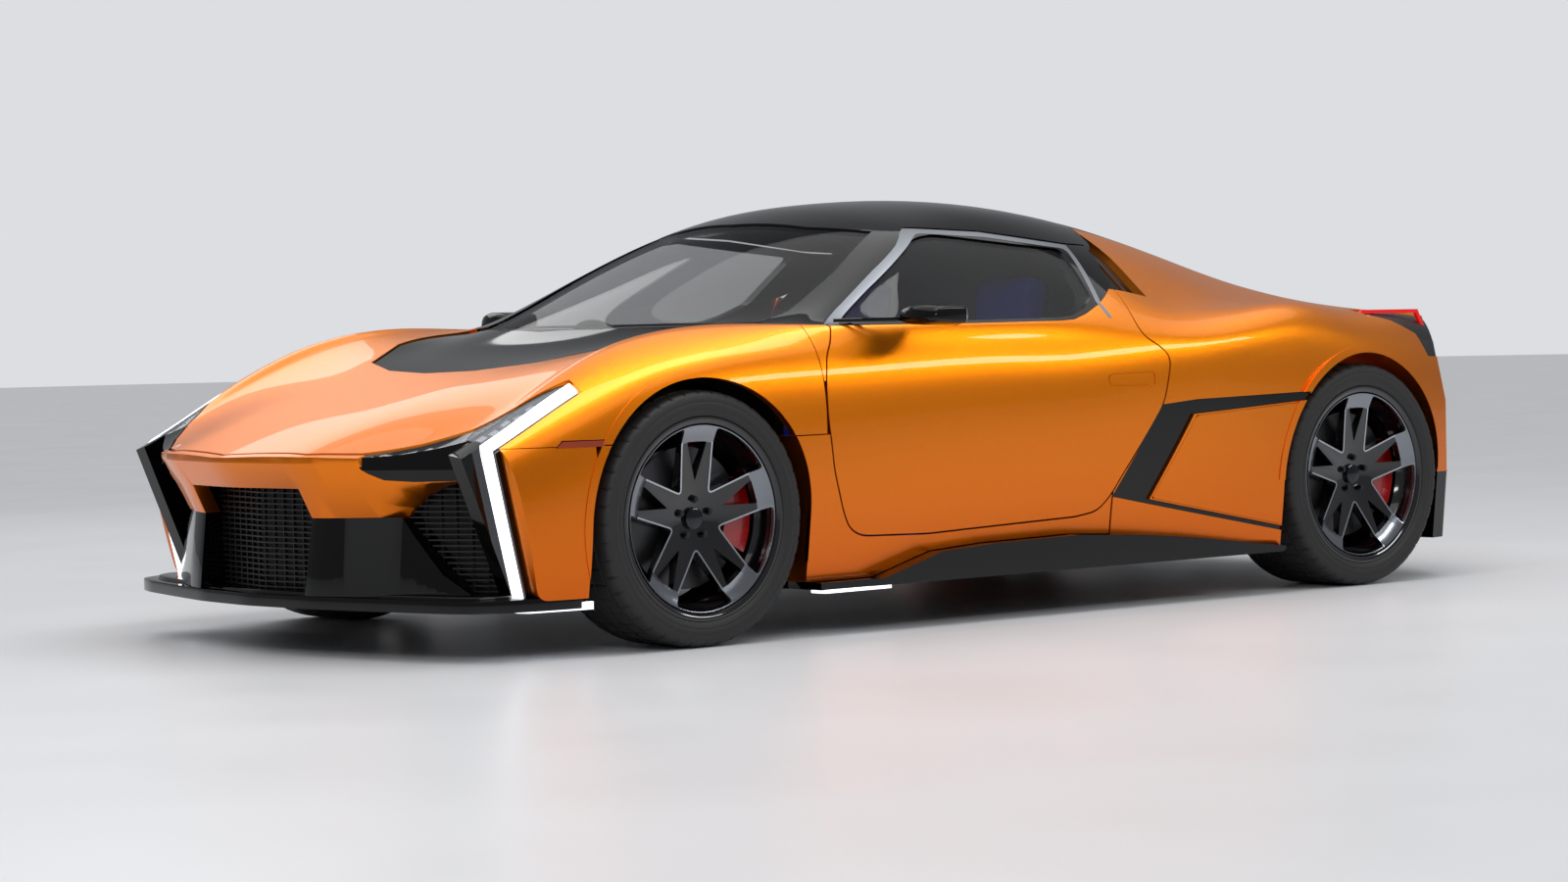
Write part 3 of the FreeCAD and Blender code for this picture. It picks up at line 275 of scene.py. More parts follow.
# Its parts: name, axle, inner side of the well, body, (x from, x to, z from, z to)
ARCH_LIPS = (
    ("front_arch_lip", FRONT_AXLE_X, FRONT_WELL_Y, "front_lid", (900, 1700, SPLIT_Z + 1, 900)),
    ("front_arch_foot", FRONT_AXLE_X, FRONT_WELL_Y, "chassis", (820, 1700, 170, SPLIT_Z - 3)),
    ("rear_arch_lip", REAR_AXLE_X, REAR_WELL_Y, "chassis", (-1900, -1000, 345, 900)),
)

# Wheels: profiles as (depth in from the tyre's sidewall, radius from the axle)
SIDEWALL_Y = 924
FRONT_TYRE_WIDTH = 265
REAR_TYRE_WIDTH = 300
WHEEL_TOOL_Y = (SIDEWALL_Y - 140, SIDEWALL_Y + 10)
SPOKES = 5
SPOKE_DEG = -54
WINDOW_DEG = -90
SPOKE_SLOT = [(100, 0), (206, 34), (206, -34)]
SPOKE_PROFILE = [(62, 0), (61, 40), (52, 74), (36, 206), (25, 252), (44, 252), (80, 120), (96, 74), (96, 0)]
EDGE_PROFILE = [(58, 70), (50.6, 76), (34.6, 206), (23.6, 246), (30, 246), (42, 206), (58, 76)]
FACET_PROFILE = [(35, 207), (14, 251), (32, 251), (48, 207)]
CAP_PROFILE = [(50, 0), (50.6, 24), (53, 29), (70, 29), (70, 0)]
WINDOW_HALF_DEG = 23
WINDOW_TIP_RADIUS = 84
WINDOW_RIM_RADIUS = 248
EDGE_WIDTH = 4.5
NUT_CIRCLE = 52
TYRE_SIDE = [
    (9, 276), (4, 282), (1.6, 288), (0.9, 292), (2.2, 294), (0.6, 297), (0, 303), (0.2, 311), (1.4, 313),
    (0.6, 315), (1.8, 322), (3.2, 328), (6, 333.5), (11, 338), (18, 341), (27, 343.2), (34, 344),
]
# Ringed grooves of the tread: their places as shares of the width, and their floor
GROOVES = (0.2, 0.4, 0.6, 0.8)
GROOVE_FLOOR = 338
TYRE_STEPS = 360
NOTCH_EVERY = 8
NOTCH_DEPTH = 4

# Seats, (x, z) on the side view
CUSHION_DEG = 40
SEAT_Y = 350
SEAT_HALF = 235
CUSHION_INSET = 66
HEADREST_HALF = 118
BOLSTER = 58
CUSHION_SOFT = 22
HEADREST_SOFT = 26
SHELL_SOFT = 16
SEAT_SHELL = [
    (-290, 167), (165, 167), (180, 268), (130, 300), (-240, 240), (-405, 750), (-470, 762), (-372, 230),
]
SEAT_BOLSTER = [
    (-290, 167), (150, 167), (150, 368), (60, 382), (-190, 358), (-330, 738), (-466, 742), (-372, 230),
]
SQUAB = [(-238, 240), (150, 298), (184, 272), (194, 300), (140, 336), (-226, 284)]
SEAT_BACK = [(-250, 292), (-222, 296), (-388, 752), (-414, 752), (-398, 700)]
HEADREST = [(-394, 764), (-468, 773), (-503, 958), (-431, 982), (-394, 928)]


# Small helpers for work by operators
def only(*objects):
    bpy.ops.object.select_all(action="DESELECT")
    for obj in objects:
        obj.select_set(True)
    bpy.context.view_layer.objects.active = objects[0]


def edit(obj, pick=None, keep_out=None):
    """Enter edit mode with the vertices chosen by pick selected, or all but the indices kept out."""
    only(obj)
    keep_out = keep_out or ()
    for vertex in obj.data.vertices:
        vertex.select = (pick is None or bool(pick(vertex.co))) and vertex.index not in keep_out
    for edge in obj.data.edges:
        edge.select = all(obj.data.vertices[i].select for i in edge.vertices)
    for face in obj.data.polygons:
        face.select = all(obj.data.vertices[i].select for i in face.vertices)
    bpy.ops.object.mode_set(mode="EDIT")
    bpy.ops.mesh.select_mode(type="VERT")


def done():
    bpy.ops.object.mode_set(mode="OBJECT")
    return bpy.context.object


def modify(obj, kind, **settings):
    only(obj)
    modifier = obj.modifiers.new(kind.title(), kind)
    for key, value in settings.items():
        setattr(modifier, key, value)
    bpy.ops.object.modifier_apply(modifier=modifier.name)
    return obj


def bevel(obj, width, segments, angle):
    """Round the edges that turn by more than an angle, width in millimetres."""
    return modify(obj, "BEVEL", width=width * MM, segments=segments, limit_method="ANGLE",
                  angle_limit=math.radians(angle))


def smooth(obj, angle=SMOOTH_DEG):
    only(obj)
    bpy.ops.object.shade_smooth_by_angle(angle=math.radians(angle))
    return obj


def copy_of(obj, name):
    twin = obj.copy()
    twin.data = obj.data.copy()
    twin.name = name
    bpy.context.collection.objects.link(twin)
    return twin


def discard(obj):
    bpy.data.objects.remove(obj, do_unlink=True)


def combine(obj, tool, how, keep_tool=False):
    modify(obj, "BOOLEAN", object=tool, operation=how, solver="MANIFOLD")
    if not keep_tool:
        discard(tool)
    return obj


def largest_island(obj):
    """Drop crumbs that a cut left loose."""
    data = obj.data
    parent = list(range(len(data.vertices)))

    def root(i):
        while parent[i] != i:
            parent[i] = parent[parent[i]]
            i = parent[i]
        return i

    for edge in data.edges:
        a, b = root(edge.vertices[0]), root(edge.vertices[1])
        parent[a] = b
    groups = {}
    for i in range(len(parent)):
        groups.setdefault(root(i), []).append(i)
    keep = set(max(groups.values(), key=len))
    if len(keep) < len(parent):
        edit(obj, keep_out=keep)
        bpy.ops.mesh.delete(type="VERT")
        done()
    return obj


def rounded(points, cut, steps=4, tips=()):
    """Closed outline with each corner but the tips eased into a curve that starts up to cut before it."""
    result = []
    count = len(points)
    for i, corner in enumerate(points):
        corner = Vector(corner)
        if i in tips:
            result.append(tuple(corner))
            continue
        before, after = Vector(points[i - 1]), Vector(points[(i + 1) % count])
        reach_in = min(cut, 0.45 * (corner - before).length)
        reach_out = min(cut, 0.45 * (after - corner).length)
        start = corner + (before - corner).normalized() * reach_in
        end = corner + (after - corner).normalized() * reach_out
        for k in range(steps + 1):
            t = k / steps
            result.append(tuple(start * (1 - t) ** 2 + corner * 2 * t * (1 - t) + end * t * t))
    return result


def grown(points, distance):
    """Offset a closed 2-D outline outwards by a distance, with mitred corners."""
    area = sum(a[0] * b[1] - b[0] * a[1] for a, b in zip(points, points[1:] + points[:1]))
    turn = 1 if area > 0 else -1
    moved = []
    count = len(points)
    for i, point in enumerate(points):
        before, after = points[i - 1], points[(i + 1) % count]
        normals = []
        for a, b in ((before, point), (point, after)):
            dx, dy = b[0] - a[0], b[1] - a[1]
            size = math.hypot(dx, dy)
            normals.append((turn * dy / size, -turn * dx / size))
        mx, my = normals[0][0] + normals[1][0], normals[0][1] + normals[1][1]
        scale = distance * 2 / max(mx * mx + my * my, 1.0)
        moved.append((point[0] + mx * scale, point[1] + my * scale))
    return moved


def prism(corners, along):
    """Closed block: a filled outline given as points in millimetres, extruded along a vector."""
    bpy.ops.object.select_all(action="DESELECT")
    bpy.ops.mesh.primitive_circle_add(vertices=len(corners), fill_type="NGON")
    obj = bpy.context.object
    for vertex, corner in zip(obj.data.vertices, corners):
        vertex.co = Vector(corner) * MM
    edit(obj)
    bpy.ops.mesh.extrude_region_move(TRANSFORM_OT_translate={"value": Vector(along) * MM})
    bpy.ops.mesh.select_all(action="SELECT")
    bpy.ops.mesh.normals_make_consistent(inside=False)
    return done()


def prism_y(outline, y0, y1):
    return prism([(x, y0, z) for x, z in outline], (0, y1 - y0, 0))


def prism_z(outline, z0, z1):
    return prism([(x, y, z0) for x, y in outline], (0, 0, z1 - z0))


def prism_x(outline, x0, x1):
    return prism([(x0, y, z) for y, z in outline], (x1 - x0, 0, 0))


def block(x0, x1, y0, y1, z0, z1):
    return prism_z([(x0, y0), (x1, y0), (x1, y1), (x0, y1)], z0, z1)


def lofted(name, rings):
    """Closed solid through rings of points in millimetres, each ring ending on its first point."""
    around, along = len(rings[0]), len(rings)
    bpy.ops.object.select_all(action="DESELECT")
    bpy.ops.mesh.primitive_grid_add(x_subdivisions=around - 1, y_subdivisions=along - 1, size=2)
    obj = bpy.context.object
    obj.name = name
    for vertex in obj.data.vertices:
        i = round((vertex.co.x + 1) / 2 * (around - 1))
        j = round((vertex.co.y + 1) / 2 * (along - 1))
        vertex.co = Vector(rings[j][i]) * MM
    edit(obj)
    bpy.ops.mesh.remove_doubles(threshold=1e-5)
    bpy.ops.mesh.fill_holes(sides=0)
    bpy.ops.mesh.select_all(action="SELECT")
    bpy.ops.mesh.normals_make_consistent(inside=False)
    return done()


def joined(*objects):
    only(*objects)
    bpy.ops.object.join()
    return bpy.context.object


def whole_plan(half):
    return half + [(x, -y) for x, y in reversed(half) if y > 0]


def plan_region(half, z0=BODY_LOW, z1=BODY_TOP):
    return prism_z(whole_plan(half), z0, z1)


def round_bar(radius, start, end, vertices=32):
    """Cylinder between two points, millimetres."""
    start, end = Vector(start) * MM, Vector(end) * MM
    bpy.ops.object.select_all(action="DESELECT")
    bpy.ops.mesh.primitive_cylinder_add(vertices=vertices, radius=radius * MM, depth=(end - start).length)
    obj = bpy.context.object
    turn = (end - start).to_track_quat("Z", "Y").to_matrix().to_4x4()
    obj.data.transform(Matrix.Translation((start + end) / 2) @ turn)
    return obj


def mirror_across(obj):
    """Turn a left piece into the right one."""
    obj.data.transform(Matrix.Scale(-1, 4, (0, 1, 0)))
    obj.data.flip_normals()
    return obj


def on_side(obj, side):
    """A piece made on the left, turned over where it belongs on the right."""
    return mirror_across(obj) if side == "right" else obj


def both_sides(obj):
    only(obj)
    twin = mirror_across(copy_of(obj, obj.name + "_twin"))
    only(obj, twin)
    bpy.ops.object.join()
    return obj


# The body form: one smooth closed skin through the section table
def station_values():
    """Section values at every station, blended from the table rows so that highlights run smoothly."""
    rows = []
    for row in SECTIONS:
        flat = [row[1]]
        for y, z in row[2:9]:
            flat += [y, z]
        rows.append((row[0], flat + [row[9]]))
    first, last = rows[-1][0], rows[0][0]
    count = int((last - first) / STATION_STEP)
    xs = [first + i * STATION_STEP for i in range(count + 1)]
    rows.reverse()
    table = []
    for x in xs:
        for (xa, a), (xb, b) in zip(rows, rows[1:]):
            if xa <= x <= xb:
                t = (x - xa) / (xb - xa)
                table.append([p * (1 - t) + q * t for p, q in zip(a, b)])
                break
    for _ in range(2):
        table = [smoothed_row(table, i) for i in range(len(table))]
    return xs, table


def smoothed_row(table, i):
    """Mean over the neighbouring stations, carried on in a straight line past the ends."""
    last = len(table) - 1
    total = [0.0] * len(table[0])
    for k in range(i - BLEND_STATIONS, i + BLEND_STATIONS + 1):
        if k < 0:
            values = [2 * a - b for a, b in zip(table[0], table[-k])]
        elif k > last:
            values = [2 * a - b for a, b in zip(table[last], table[2 * last - k])]
        else:
            values = table[k]
        total = [t + v for t, v in zip(total, values)]
    return [t / (2 * BLEND_STATIONS + 1) for t in total]


def straight(a, b, steps):
    return [a.lerp(b, k / steps) for k in range(steps)]


def curved(a, middle, b, steps):
    """Curve from a to b that passes through the middle point half way."""
    return [curve_point(a, middle * 2 - (a + b) * 0.5, b, k / steps) for k in range(steps)]


def half_section(values):
    """Points of a half section from the centre line of the roof to the centre line of the floor."""
    centre_z, floor_y = values[0], values[15]
    roof, cant, belt, crest, shoulder, flank, sill = [
        Vector((values[i], values[i + 1])) for i in range(1, 15, 2)
    ]
    floor = Vector((floor_y, FLOOR_Z))
    points = []
    for k in range(CURVE_STEPS[0]):
        t = k / CURVE_STEPS[0]
        points.append(Vector((roof.x * t, centre_z + (roof.y - centre_z) * t * t)))
    points += straight(roof, cant, CURVE_STEPS[1]) + straight(cant, belt, CURVE_STEPS[2])
    points += curved(belt, crest, shoulder, CURVE_STEPS[3]) + curved(shoulder, flank, sill, CURVE_STEPS[4])
    points += straight(sill, floor, CURVE_STEPS[5]) + straight(floor, Vector((0, FLOOR_Z)), CURVE_STEPS[6])
    return points + [Vector((0, FLOOR_Z))]


def curve_point(a, control, b, t):
    return a * (1 - t) ** 2 + control * 2 * t * (1 - t) + b * t * t


def softened(points):
    """Round the joints of a half section."""
    joints = {}
    index = 0
    for steps, softness in zip(CURVE_STEPS, JOINT_SOFTNESS):
        index += steps
        joints[index] = softness
    for _ in range(ROUNDING_PASSES):
        moved = list(points)
        for i in range(1, len(points) - 1):
            k = 0.5 * joints.get(i, 1.0)
            moved[i] = points[i].lerp((points[i - 1] + points[i + 1]) * 0.5, k)
        moved[0] = Vector((0, points[0].y + (points[1].y - points[0].y) * 0.5))
        floor_at = sum(CURVE_STEPS[:6])
        for i in range(floor_at, len(points)):
            moved[i] = points[i]
        points = moved
    return points


def moved_in(points, wall):
    """Half section moved inwards by a wall thickness."""
    if wall == 0:
        return points
    inner = []
    for i, point in enumerate(points):
        ahead = points[min(i + 1, len(points) - 1)]
        behind = points[max(i - 1, 0)]
        run = (ahead - behind).normalized()
        inner.append(point + Vector((run.y, -run.x)) * wall)
    floor_at = sum(CURVE_STEPS[:6])
    inner[0].x = 0
    edge_y = inner[floor_at - 1].x
    for i, point in enumerate(inner):
        point.y = max(point.y, FLOOR_Z + wall)
        if i >= floor_at:
            point.x = min(points[i].x, edge_y)
    return inner


STATION_X, STATION_VALUES = station_values()
HALF_SECTIONS = [softened(half_section(values)) for values in STATION_VALUES]
FORMS = {}


def form(wall=0):
    """Closed skin of the whole car, moved in by a wall thickness."""
    if wall not in FORMS:
        rings = []
        for x, half in zip(STATION_X, HALF_SECTIONS):
            inner = moved_in(half, wall)
            rings.append([(x, p.x, p.y) for p in reversed(inner)] + [(x, -p.x, p.y) for p in inner[1:]])
        FORMS[wall] = lofted("form_%d" % wall, rings)
    return FORMS[wall]


def form_piece(name, wall, *regions):
    """Solid of the form inside every region, regions in turn."""
    obj = copy_of(form(wall), name)
    for region in regions:
        combine(obj, region, "INTERSECT")
    return obj


def shell_piece(name, outer, inner, *regions):
    """Skin between two depths of the form, inside every region."""
    obj = form_piece(name, outer, *regions)
    return combine(obj, form(inner), "DIFFERENCE", keep_tool=True)


def cut(obj, *tools):
    for tool in tools:
        combine(obj, tool, "DIFFERENCE")
    return obj


SKIN_REACH = 0.045
SKIN_AGREES = 0.8
FORM_TREE = []


def shade(obj):
    """Smooth shading that takes the form's own normals on every face that lies along the skin."""
    smooth(obj)
    if not FORM_TREE:
        source = form(0).data
        source.update()
        polygons = [tuple(p.vertices) for p in source.polygons]
        points = [v.co.copy() for v in source.vertices]
        normals = [v.normal.copy() for v in source.vertices]
        FORM_TREE.extend([BVHTree.FromPolygons(points, polygons), points, polygons, normals])
    tree, points, polygons, normals = FORM_TREE
    found = []
    for vertex in obj.data.vertices:
        place, _, index, distance = tree.find_nearest(vertex.co)
        if distance > SKIN_REACH or len(polygons[index]) > 4:
            found.append(None)
            continue
        weights = [1 / ((points[k] - place).length + 1e-6) ** 2 for k in polygons[index]]
        blend = Vector()
        for k, weight in zip(polygons[index], weights):
            blend += normals[k] * weight
        found.append(blend.normalized())
    custom = [(0.0, 0.0, 0.0)] * len(obj.data.loops)
    for polygon in obj.data.polygons:
        for loop in polygon.loop_indices:
            normal = found[obj.data.loops[loop].vertex_index]
            if normal is None:
                continue
            agree = normal.dot(polygon.normal)
            if abs(agree) > SKIN_AGREES:
                custom[loop] = tuple(normal if agree > 0 else -normal)
    obj.data.normals_split_custom_set(custom)
    return obj


# Finishes
def hex_colour(text):
    """sRGB hex to linear."""
    channels = []
    for i in (0, 2, 4):
        c = int(text[i:i + 2], 16) / 255
        channels.append(c / 12.92 if c <= 0.04045 else ((c + 0.055) / 1.055) ** 2.4)
    return (*channels, 1.0)


def add(tree, kind, settings=None, inputs=None):
    """Add a node, set its properties, then set or link its inputs."""
    node = tree.nodes.new("ShaderNode" + kind)
    for key, value in (settings or {}).items():
        setattr(node, key, value)
    for key, value in (inputs or {}).items():
        if isinstance(value, bpy.types.NodeSocket):
            tree.links.new(value, node.inputs[key])
        else:
            node.inputs[key].default_value = value
    return node


def new_material(name):
    material = bpy.data.materials.new(name)
    material.use_nodes = True
    tree = material.node_tree
    shader = tree.nodes["Principled BSDF"]
    coordinates = add(tree, "TexCoord").outputs["Object"]
    return material, tree, shader, coordinates


def set_inputs(shader, **values):
    for key, value in values.items():
        shader.inputs[key.replace("_", " ")].default_value = value


FLAKE_MM = 0.9


def candy_orange_paint():
    """Metallic orange under clear coat: fine flakes scatter the light, the coat mirrors it sharply."""
    material, tree, shader, coordinates = new_material("candy_orange_paint")
    # flakes: real ones are 0.05 mm, drawn coarser so that a close view shows their sparkle
    flakes = add(tree, "TexVoronoi", inputs={"Vector": coordinates, "Scale": 1000 / FLAKE_MM})
    tilt = add(tree, "VectorMath", {"operation": "SUBTRACT"}, {
        0: flakes.outputs["Color"], 1: (0.5, 0.5, 0.5)})
    small = add(tree, "VectorMath", {"operation": "SCALE"}, {0: tilt.outputs[0], "Scale": 0.10})
    surface = add(tree, "NewGeometry").outputs["Normal"]
    leaning = add(tree, "VectorMath", {"operation": "ADD"}, {0: surface, 1: small.outputs[0]})
    facing = add(tree, "VectorMath", {"operation": "NORMALIZE"}, {0: leaning.outputs[0]})
    grey = add(tree, "SeparateColor", inputs={"Color": flakes.outputs["Color"]})
    colour = add(tree, "Mix", {"data_type": "RGBA"}, {
        "Factor": grey.outputs["Red"], 6: hex_colour("F87E00"), 7: hex_colour("FF9A04")})
    # painted shade: the base colour is mixed darker towards the sills by height, standing in for the shade on
    # the lower flank
    height = add(tree, "SeparateXYZ", inputs={"Vector": coordinates})
    depth = add(tree, "MapRange", inputs={"Value": height.outputs["Z"], "From Min": 0.15, "From Max": 0.85})
    painted_low_shade = add(tree, "Mix", {"data_type": "RGBA"}, {
        "Factor": depth.outputs["Result"], 6: hex_colour("DC6600"), 7: colour.outputs[2]})
    tree.links.new(painted_low_shade.outputs[2], shader.inputs["Base Color"])
    tree.links.new(facing.outputs[0], shader.inputs["Normal"])
    set_inputs(shader, Metallic=1.0, Roughness=0.36, Coat_Weight=0.4, Coat_Roughness=0.02, Coat_IOR=1.45)
    return material


def plain_finish(name, colour, roughness, metallic, coat, grain_mm, grain_depth, ior):
    """Moulded or painted surface with a fine grain in its relief and gloss."""
    material, tree, shader, coordinates = new_material(name)
    set_inputs(shader, Base_Color=hex_colour(colour), Roughness=roughness, Metallic=metallic,
               Coat_Weight=coat, Coat_Roughness=0.03, IOR=ior)
    if grain_mm:
        grain = add(tree, "TexNoise", inputs={"Vector": coordinates, "Scale": 1000 / grain_mm, "Detail": 3.0})
        relief = add(tree, "Bump", inputs={"Height": grain.outputs["Fac"], "Distance": grain_depth * MM})
        gloss = add(tree, "MapRange", inputs={
            "Value": grain.outputs["Fac"], "To Min": roughness * 0.8, "To Max": min(roughness * 1.25, 1.0)})
        tree.links.new(relief.outputs["Normal"], shader.inputs["Normal"])
        tree.links.new(gloss.outputs["Result"], shader.inputs["Roughness"])
    return material


def tinted_glass():
    """Dark laminated glass: mirror-like outside, the cabin shows dimly through it."""
    material, tree, shader, coordinates = new_material("tinted_laminated_glass")
    set_inputs(shader, Base_Color=hex_colour("0A0C10"), Roughness=0.01, IOR=1.45, Alpha=0.3)
    return material


def clear_lens():
    """Thin clear cover: little but its reflections shows."""
    material, tree, shader, coordinates = new_material("clear_polycarbonate")
    set_inputs(shader, Base_Color=hex_colour("C8CCD2"), Roughness=0.02, IOR=1.58, Alpha=0.18)
    return material


def lit(name, colour, strength):
    """Diffuser lens with its lamp on."""
    material, tree, shader, coordinates = new_material(name)
    set_inputs(shader, Base_Color=hex_colour(colour), Roughness=0.25, Emission_Color=hex_colour(colour),
               Emission_Strength=strength)
    return material


# Columns: slot, finish, sRGB colour, roughness, metallic, coat, grain in mm, its depth in mm, IOR
PLAIN_FINISHES = (
    ("gloss_black", "piano_black_lacquer", "030304", 0.05, 0.0, 0.0, 60, 0.01, 1.38),
    ("matt_black", "moulded_black_abs", "121213", 0.45, 0.0, 0.0, 1.2, 0.05, 1.5),
    ("carbon_black", "satin_black_composite", "161618", 0.4, 0.0, 0.0, 3, 0.05, 1.5),
    ("satin_grey", "satin_anodised_aluminium", "8A8E94", 0.32, 0.9, 0.0, 0.6, 0.01, 1.5),
    ("blue_upholstery", "blue_suede_cloth", "1C42D8", 0.85, 0.0, 0.0, 1.5, 0.3, 1.5),
    ("cast_housing", "cast_aluminium", "55585C", 0.5, 0.8, 0.0, 2, 0.1, 1.5),
    ("red_caliper", "red_caliper_enamel", "A00A0C", 0.25, 0.0, 0.8, 4, 0.05, 1.5),
    ("brake_iron", "turned_brake_iron", "4A4A4C", 0.35, 0.9, 0.0, 1, 0.02, 1.5),
    ("black_alloy", "gloss_black_alloy", "0C0C0E", 0.12, 0.3, 0.8, 30, 0.01, 1.5),
    ("machined_alloy", "machined_bright_alloy", "B8BCC2", 0.22, 1.0, 0.0, 0.5, 0.01, 1.5),
    ("facet_alloy", "polished_grey_alloy", "7C8087", 0.2, 0.9, 0.5, 20, 0.01, 1.5),
    ("dark_chrome", "dark_chrome", "3A3C40", 0.12, 1.0, 0.0, 8, 0.01, 1.5),
    ("bright_chrome", "bright_chrome", "D8DADD", 0.06, 1.0, 0.0, 40, 0.01, 1.5),
    ("mirror_glass", "silvered_mirror_glass", "C0C8D0", 0.02, 1.0, 0.0, 0, 0, 1.5),
    ("amber_lens", "amber_marker_lens", "8A2C06", 0.12, 0.0, 1.0, 4, 0.02, 1.5),
    ("tyre_rubber", "tyre_rubber", "1A1A1B", 0.6, 0.0, 0.0, 2.5, 0.1, 1.5),
)
FINISH = {
    "orange_paint": candy_orange_paint(),
    "tinted_glass": tinted_glass(),
    "white_light": lit("lit_white_diffuser", "F4F8FF", 1.6),
    "red_light": lit("red_tail_lens", "C80A08", 0.5),
    "clear_lens": clear_lens(),
}
for row in PLAIN_FINISHES:
    FINISH[row[0]] = plain_finish(*row[1:])
SLOT_OF = {part["node"]: part["material_slot"] for part in frame["record"]["subparts"]}


def finish(obj, slot, body, *nodes):
    """Give a piece its finish, its body and the nodes that it stands for."""
    obj.data.materials.clear()
    obj.data.materials.append(FINISH[slot])
    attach(obj, body)
    if nodes:
        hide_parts(*nodes)
    return obj


for node_name, node_object in frame["nodes"].items():
    node_object.data.materials.clear()
    node_object.data.materials.append(FINISH[SLOT_OF[node_name]])


# Body panels
def flattened(points):
    """Outline as drawn on the side view plane, from points on the skin."""
    flat = []
    for x, y, z in points:
        k = 1 - DOOR_TAPER * (DOOR_TOOL_OUT - y) / (DOOR_TOOL_OUT - DOOR_TOOL_IN)
        flat.append((HINGE_X + (x - HINGE_X) / k, z))
    return flat


def door_flat():
    return rounded(flattened(DOOR_OUTLINE), 30, 4, DOOR_TIPS)


def tapered(outline):
    """Side-view outline carried inwards with the taper that lets the door swing out."""
    obj = prism_y(outline, DOOR_TOOL_OUT, DOOR_TOOL_IN)
    edit(obj, lambda co: abs(co.y - DOOR_TOOL_IN * MM) < 1e-6)
    bpy.ops.transform.resize(value=(1 - DOOR_TAPER, 1, 1), center_override=(HINGE_X * MM, 0, 0))
    return done()


def glass_flat():
    return rounded(flattened(GLASS_OUTLINE), 18, 4, GLASS_TIPS)


def finish_skin(obj, slot, body, *nodes):
    """Finish a piece cut from the form, without its crumbs and shaded as the form is."""
    return finish(shade(largest_island(obj)), slot, body, *nodes)


def finish_pair(obj, slot, body, *nodes):
    """Finish a left piece of the skin together with its twin on the right."""
    both_sides(largest_island(obj))
    return finish(shade(obj), slot, body, *nodes)


def door_hole():
    return tapered(grown(door_flat(), SHUT_GAP))


def well(axle_x, inner_y):
    side = PAST_SIDE if inner_y > 0 else -PAST_SIDE
    drum = round_bar(ARCH_RADIUS, (axle_x, inner_y, TYRE_RADIUS), (axle_x, side, TYRE_RADIUS), ROUND_STEPS)
    y0, y1 = sorted((inner_y, side))
    low = block(axle_x - ARCH_RADIUS, axle_x + ARCH_RADIUS, y0, y1, 0, TYRE_RADIUS)
    return combine(drum, low, "UNION")


def wells():
    places = ((FRONT_AXLE_X, FRONT_WELL_Y), (REAR_AXLE_X, REAR_WELL_Y))
    return [well(x, y * side) for x, y in places for side in (1, -1)]


def pair_of_doors_cut(obj):
    return cut(obj, door_hole(), mirror_across(door_hole()))


def front_lid():
    obj = shell_piece("clamshell_lid", 0, PANEL, plan_region(LID_PLAN, LID_LOW_Z))
    cut(obj, plan_region(LID_INNER))
    for side in (1, -1):
        y0, y1 = sorted((LID_FLANK_Y * side, PAST_SIDE * side))
        cut(obj, block(*LID_FLANK_X, y0, y1, 0, SPLIT_Z))
    cut(obj, *wells())
    pair_of_doors_cut(obj)
    finish_skin(obj, "orange_paint", "front_lid", "front_lid")


def scuttle_corners():
    obj = shell_piece("scuttle_corner", 0, PANEL, prism_z(SCUTTLE_CORNER, SCUTTLE_LOW_Z, BODY_TOP))
    cut(obj, door_hole())
    finish_pair(obj, "orange_paint", "chassis", "scuttle_corners")


def door(side):
    below = BELT_POINTS + [(-700, BELT_POINTS[-1][1]), (-700, 200), (900, 200), (900, BELT_POINTS[0][1])]
    below = prism_y(below, DOOR_TOOL_IN, DOOR_TOOL_OUT)
    obj = form_piece("door_skin_" + side, 0, tapered(door_flat()), below)
    cut(obj, block(-700, 900, 0, CABIN_HALF, 0, BODY_TOP))
    handle = shell_piece("handle_line", -4, 4, prism_y(rounded(HANDLE, 16, 4), HANDLE_Y, PAST_SIDE))
    cut(obj, cut(handle, prism_y(rounded(grown(HANDLE, -HANDLE_LINE), 14, 4), HANDLE_Y, PAST_SIDE)))
    finish_skin(on_side(obj, side), "orange_paint", "door_" + side, "door_" + side)


def window_frame(side):
    above = [(x, z + 1) for x, z in BELT_POINTS]
    above += [(-700, above[-1][1]), (-700, BODY_TOP), (900, BODY_TOP), (900, above[0][1])]
    above = prism_y(above, DOOR_TOOL_IN, DOOR_TOOL_OUT)
    obj = shell_piece("window_surround_" + side, 0, FRAME_WALL, tapered(door_flat()), above)
    inboard = prism_z(FRAME_INNER + [(FRAME_INNER[-1][0], 0), (FRAME_INNER[0][0], 0)], BELT_Z, BODY_TOP)
    cut(obj, tapered(glass_flat()), inboard)
    finish_skin(on_side(obj, side), "gloss_black", "door_" + side, "window_frame_" + side)


def window_trim(side):
    """Thin satin strip along the front, top and rear of the door glass."""
    outer = flattened(TRIM_LINE) + [(-380, 700), (716, 700)]
    above = block(-700, 900, 300, PAST_SIDE, BELT_Z + 5, BODY_TOP)
    strip = shell_piece("window_trim_" + side, -TRIM_RISE, 5, tapered(outer), above)
    cut(strip, tapered(rounded(grown(outer, -TRIM_WIDTH), 26, 5, (0, 4, 5, 6))))
    finish_skin(on_side(strip, side), "satin_grey", "door_" + side)


def door_glass(side):
    opening = tapered(grown(glass_flat(), -SEAT_GAP))
    above = block(-900, 900, 300, 900, BELT_Z, BODY_TOP)
    pane = shell_piece("side_pane_" + side, GLASS_RECESS, GLASS_RECESS + GLASS, opening, above)
    finish_skin(on_side(pane, side), "tinted_glass", "door_" + side, "door_glass_" + side)


def mirror_layer(pod, name, scale, x_range):
    """Slice of the pod between two x, scaled about the pod's middle."""
    layer = copy_of(pod, name)
    edit(layer)
    bpy.ops.transform.resize(value=scale, center_override=Vector(MIRROR_CENTRE) * MM)
    done()
    return combine(layer, block(*x_range, *MIRROR_ROOM), "INTERSECT")


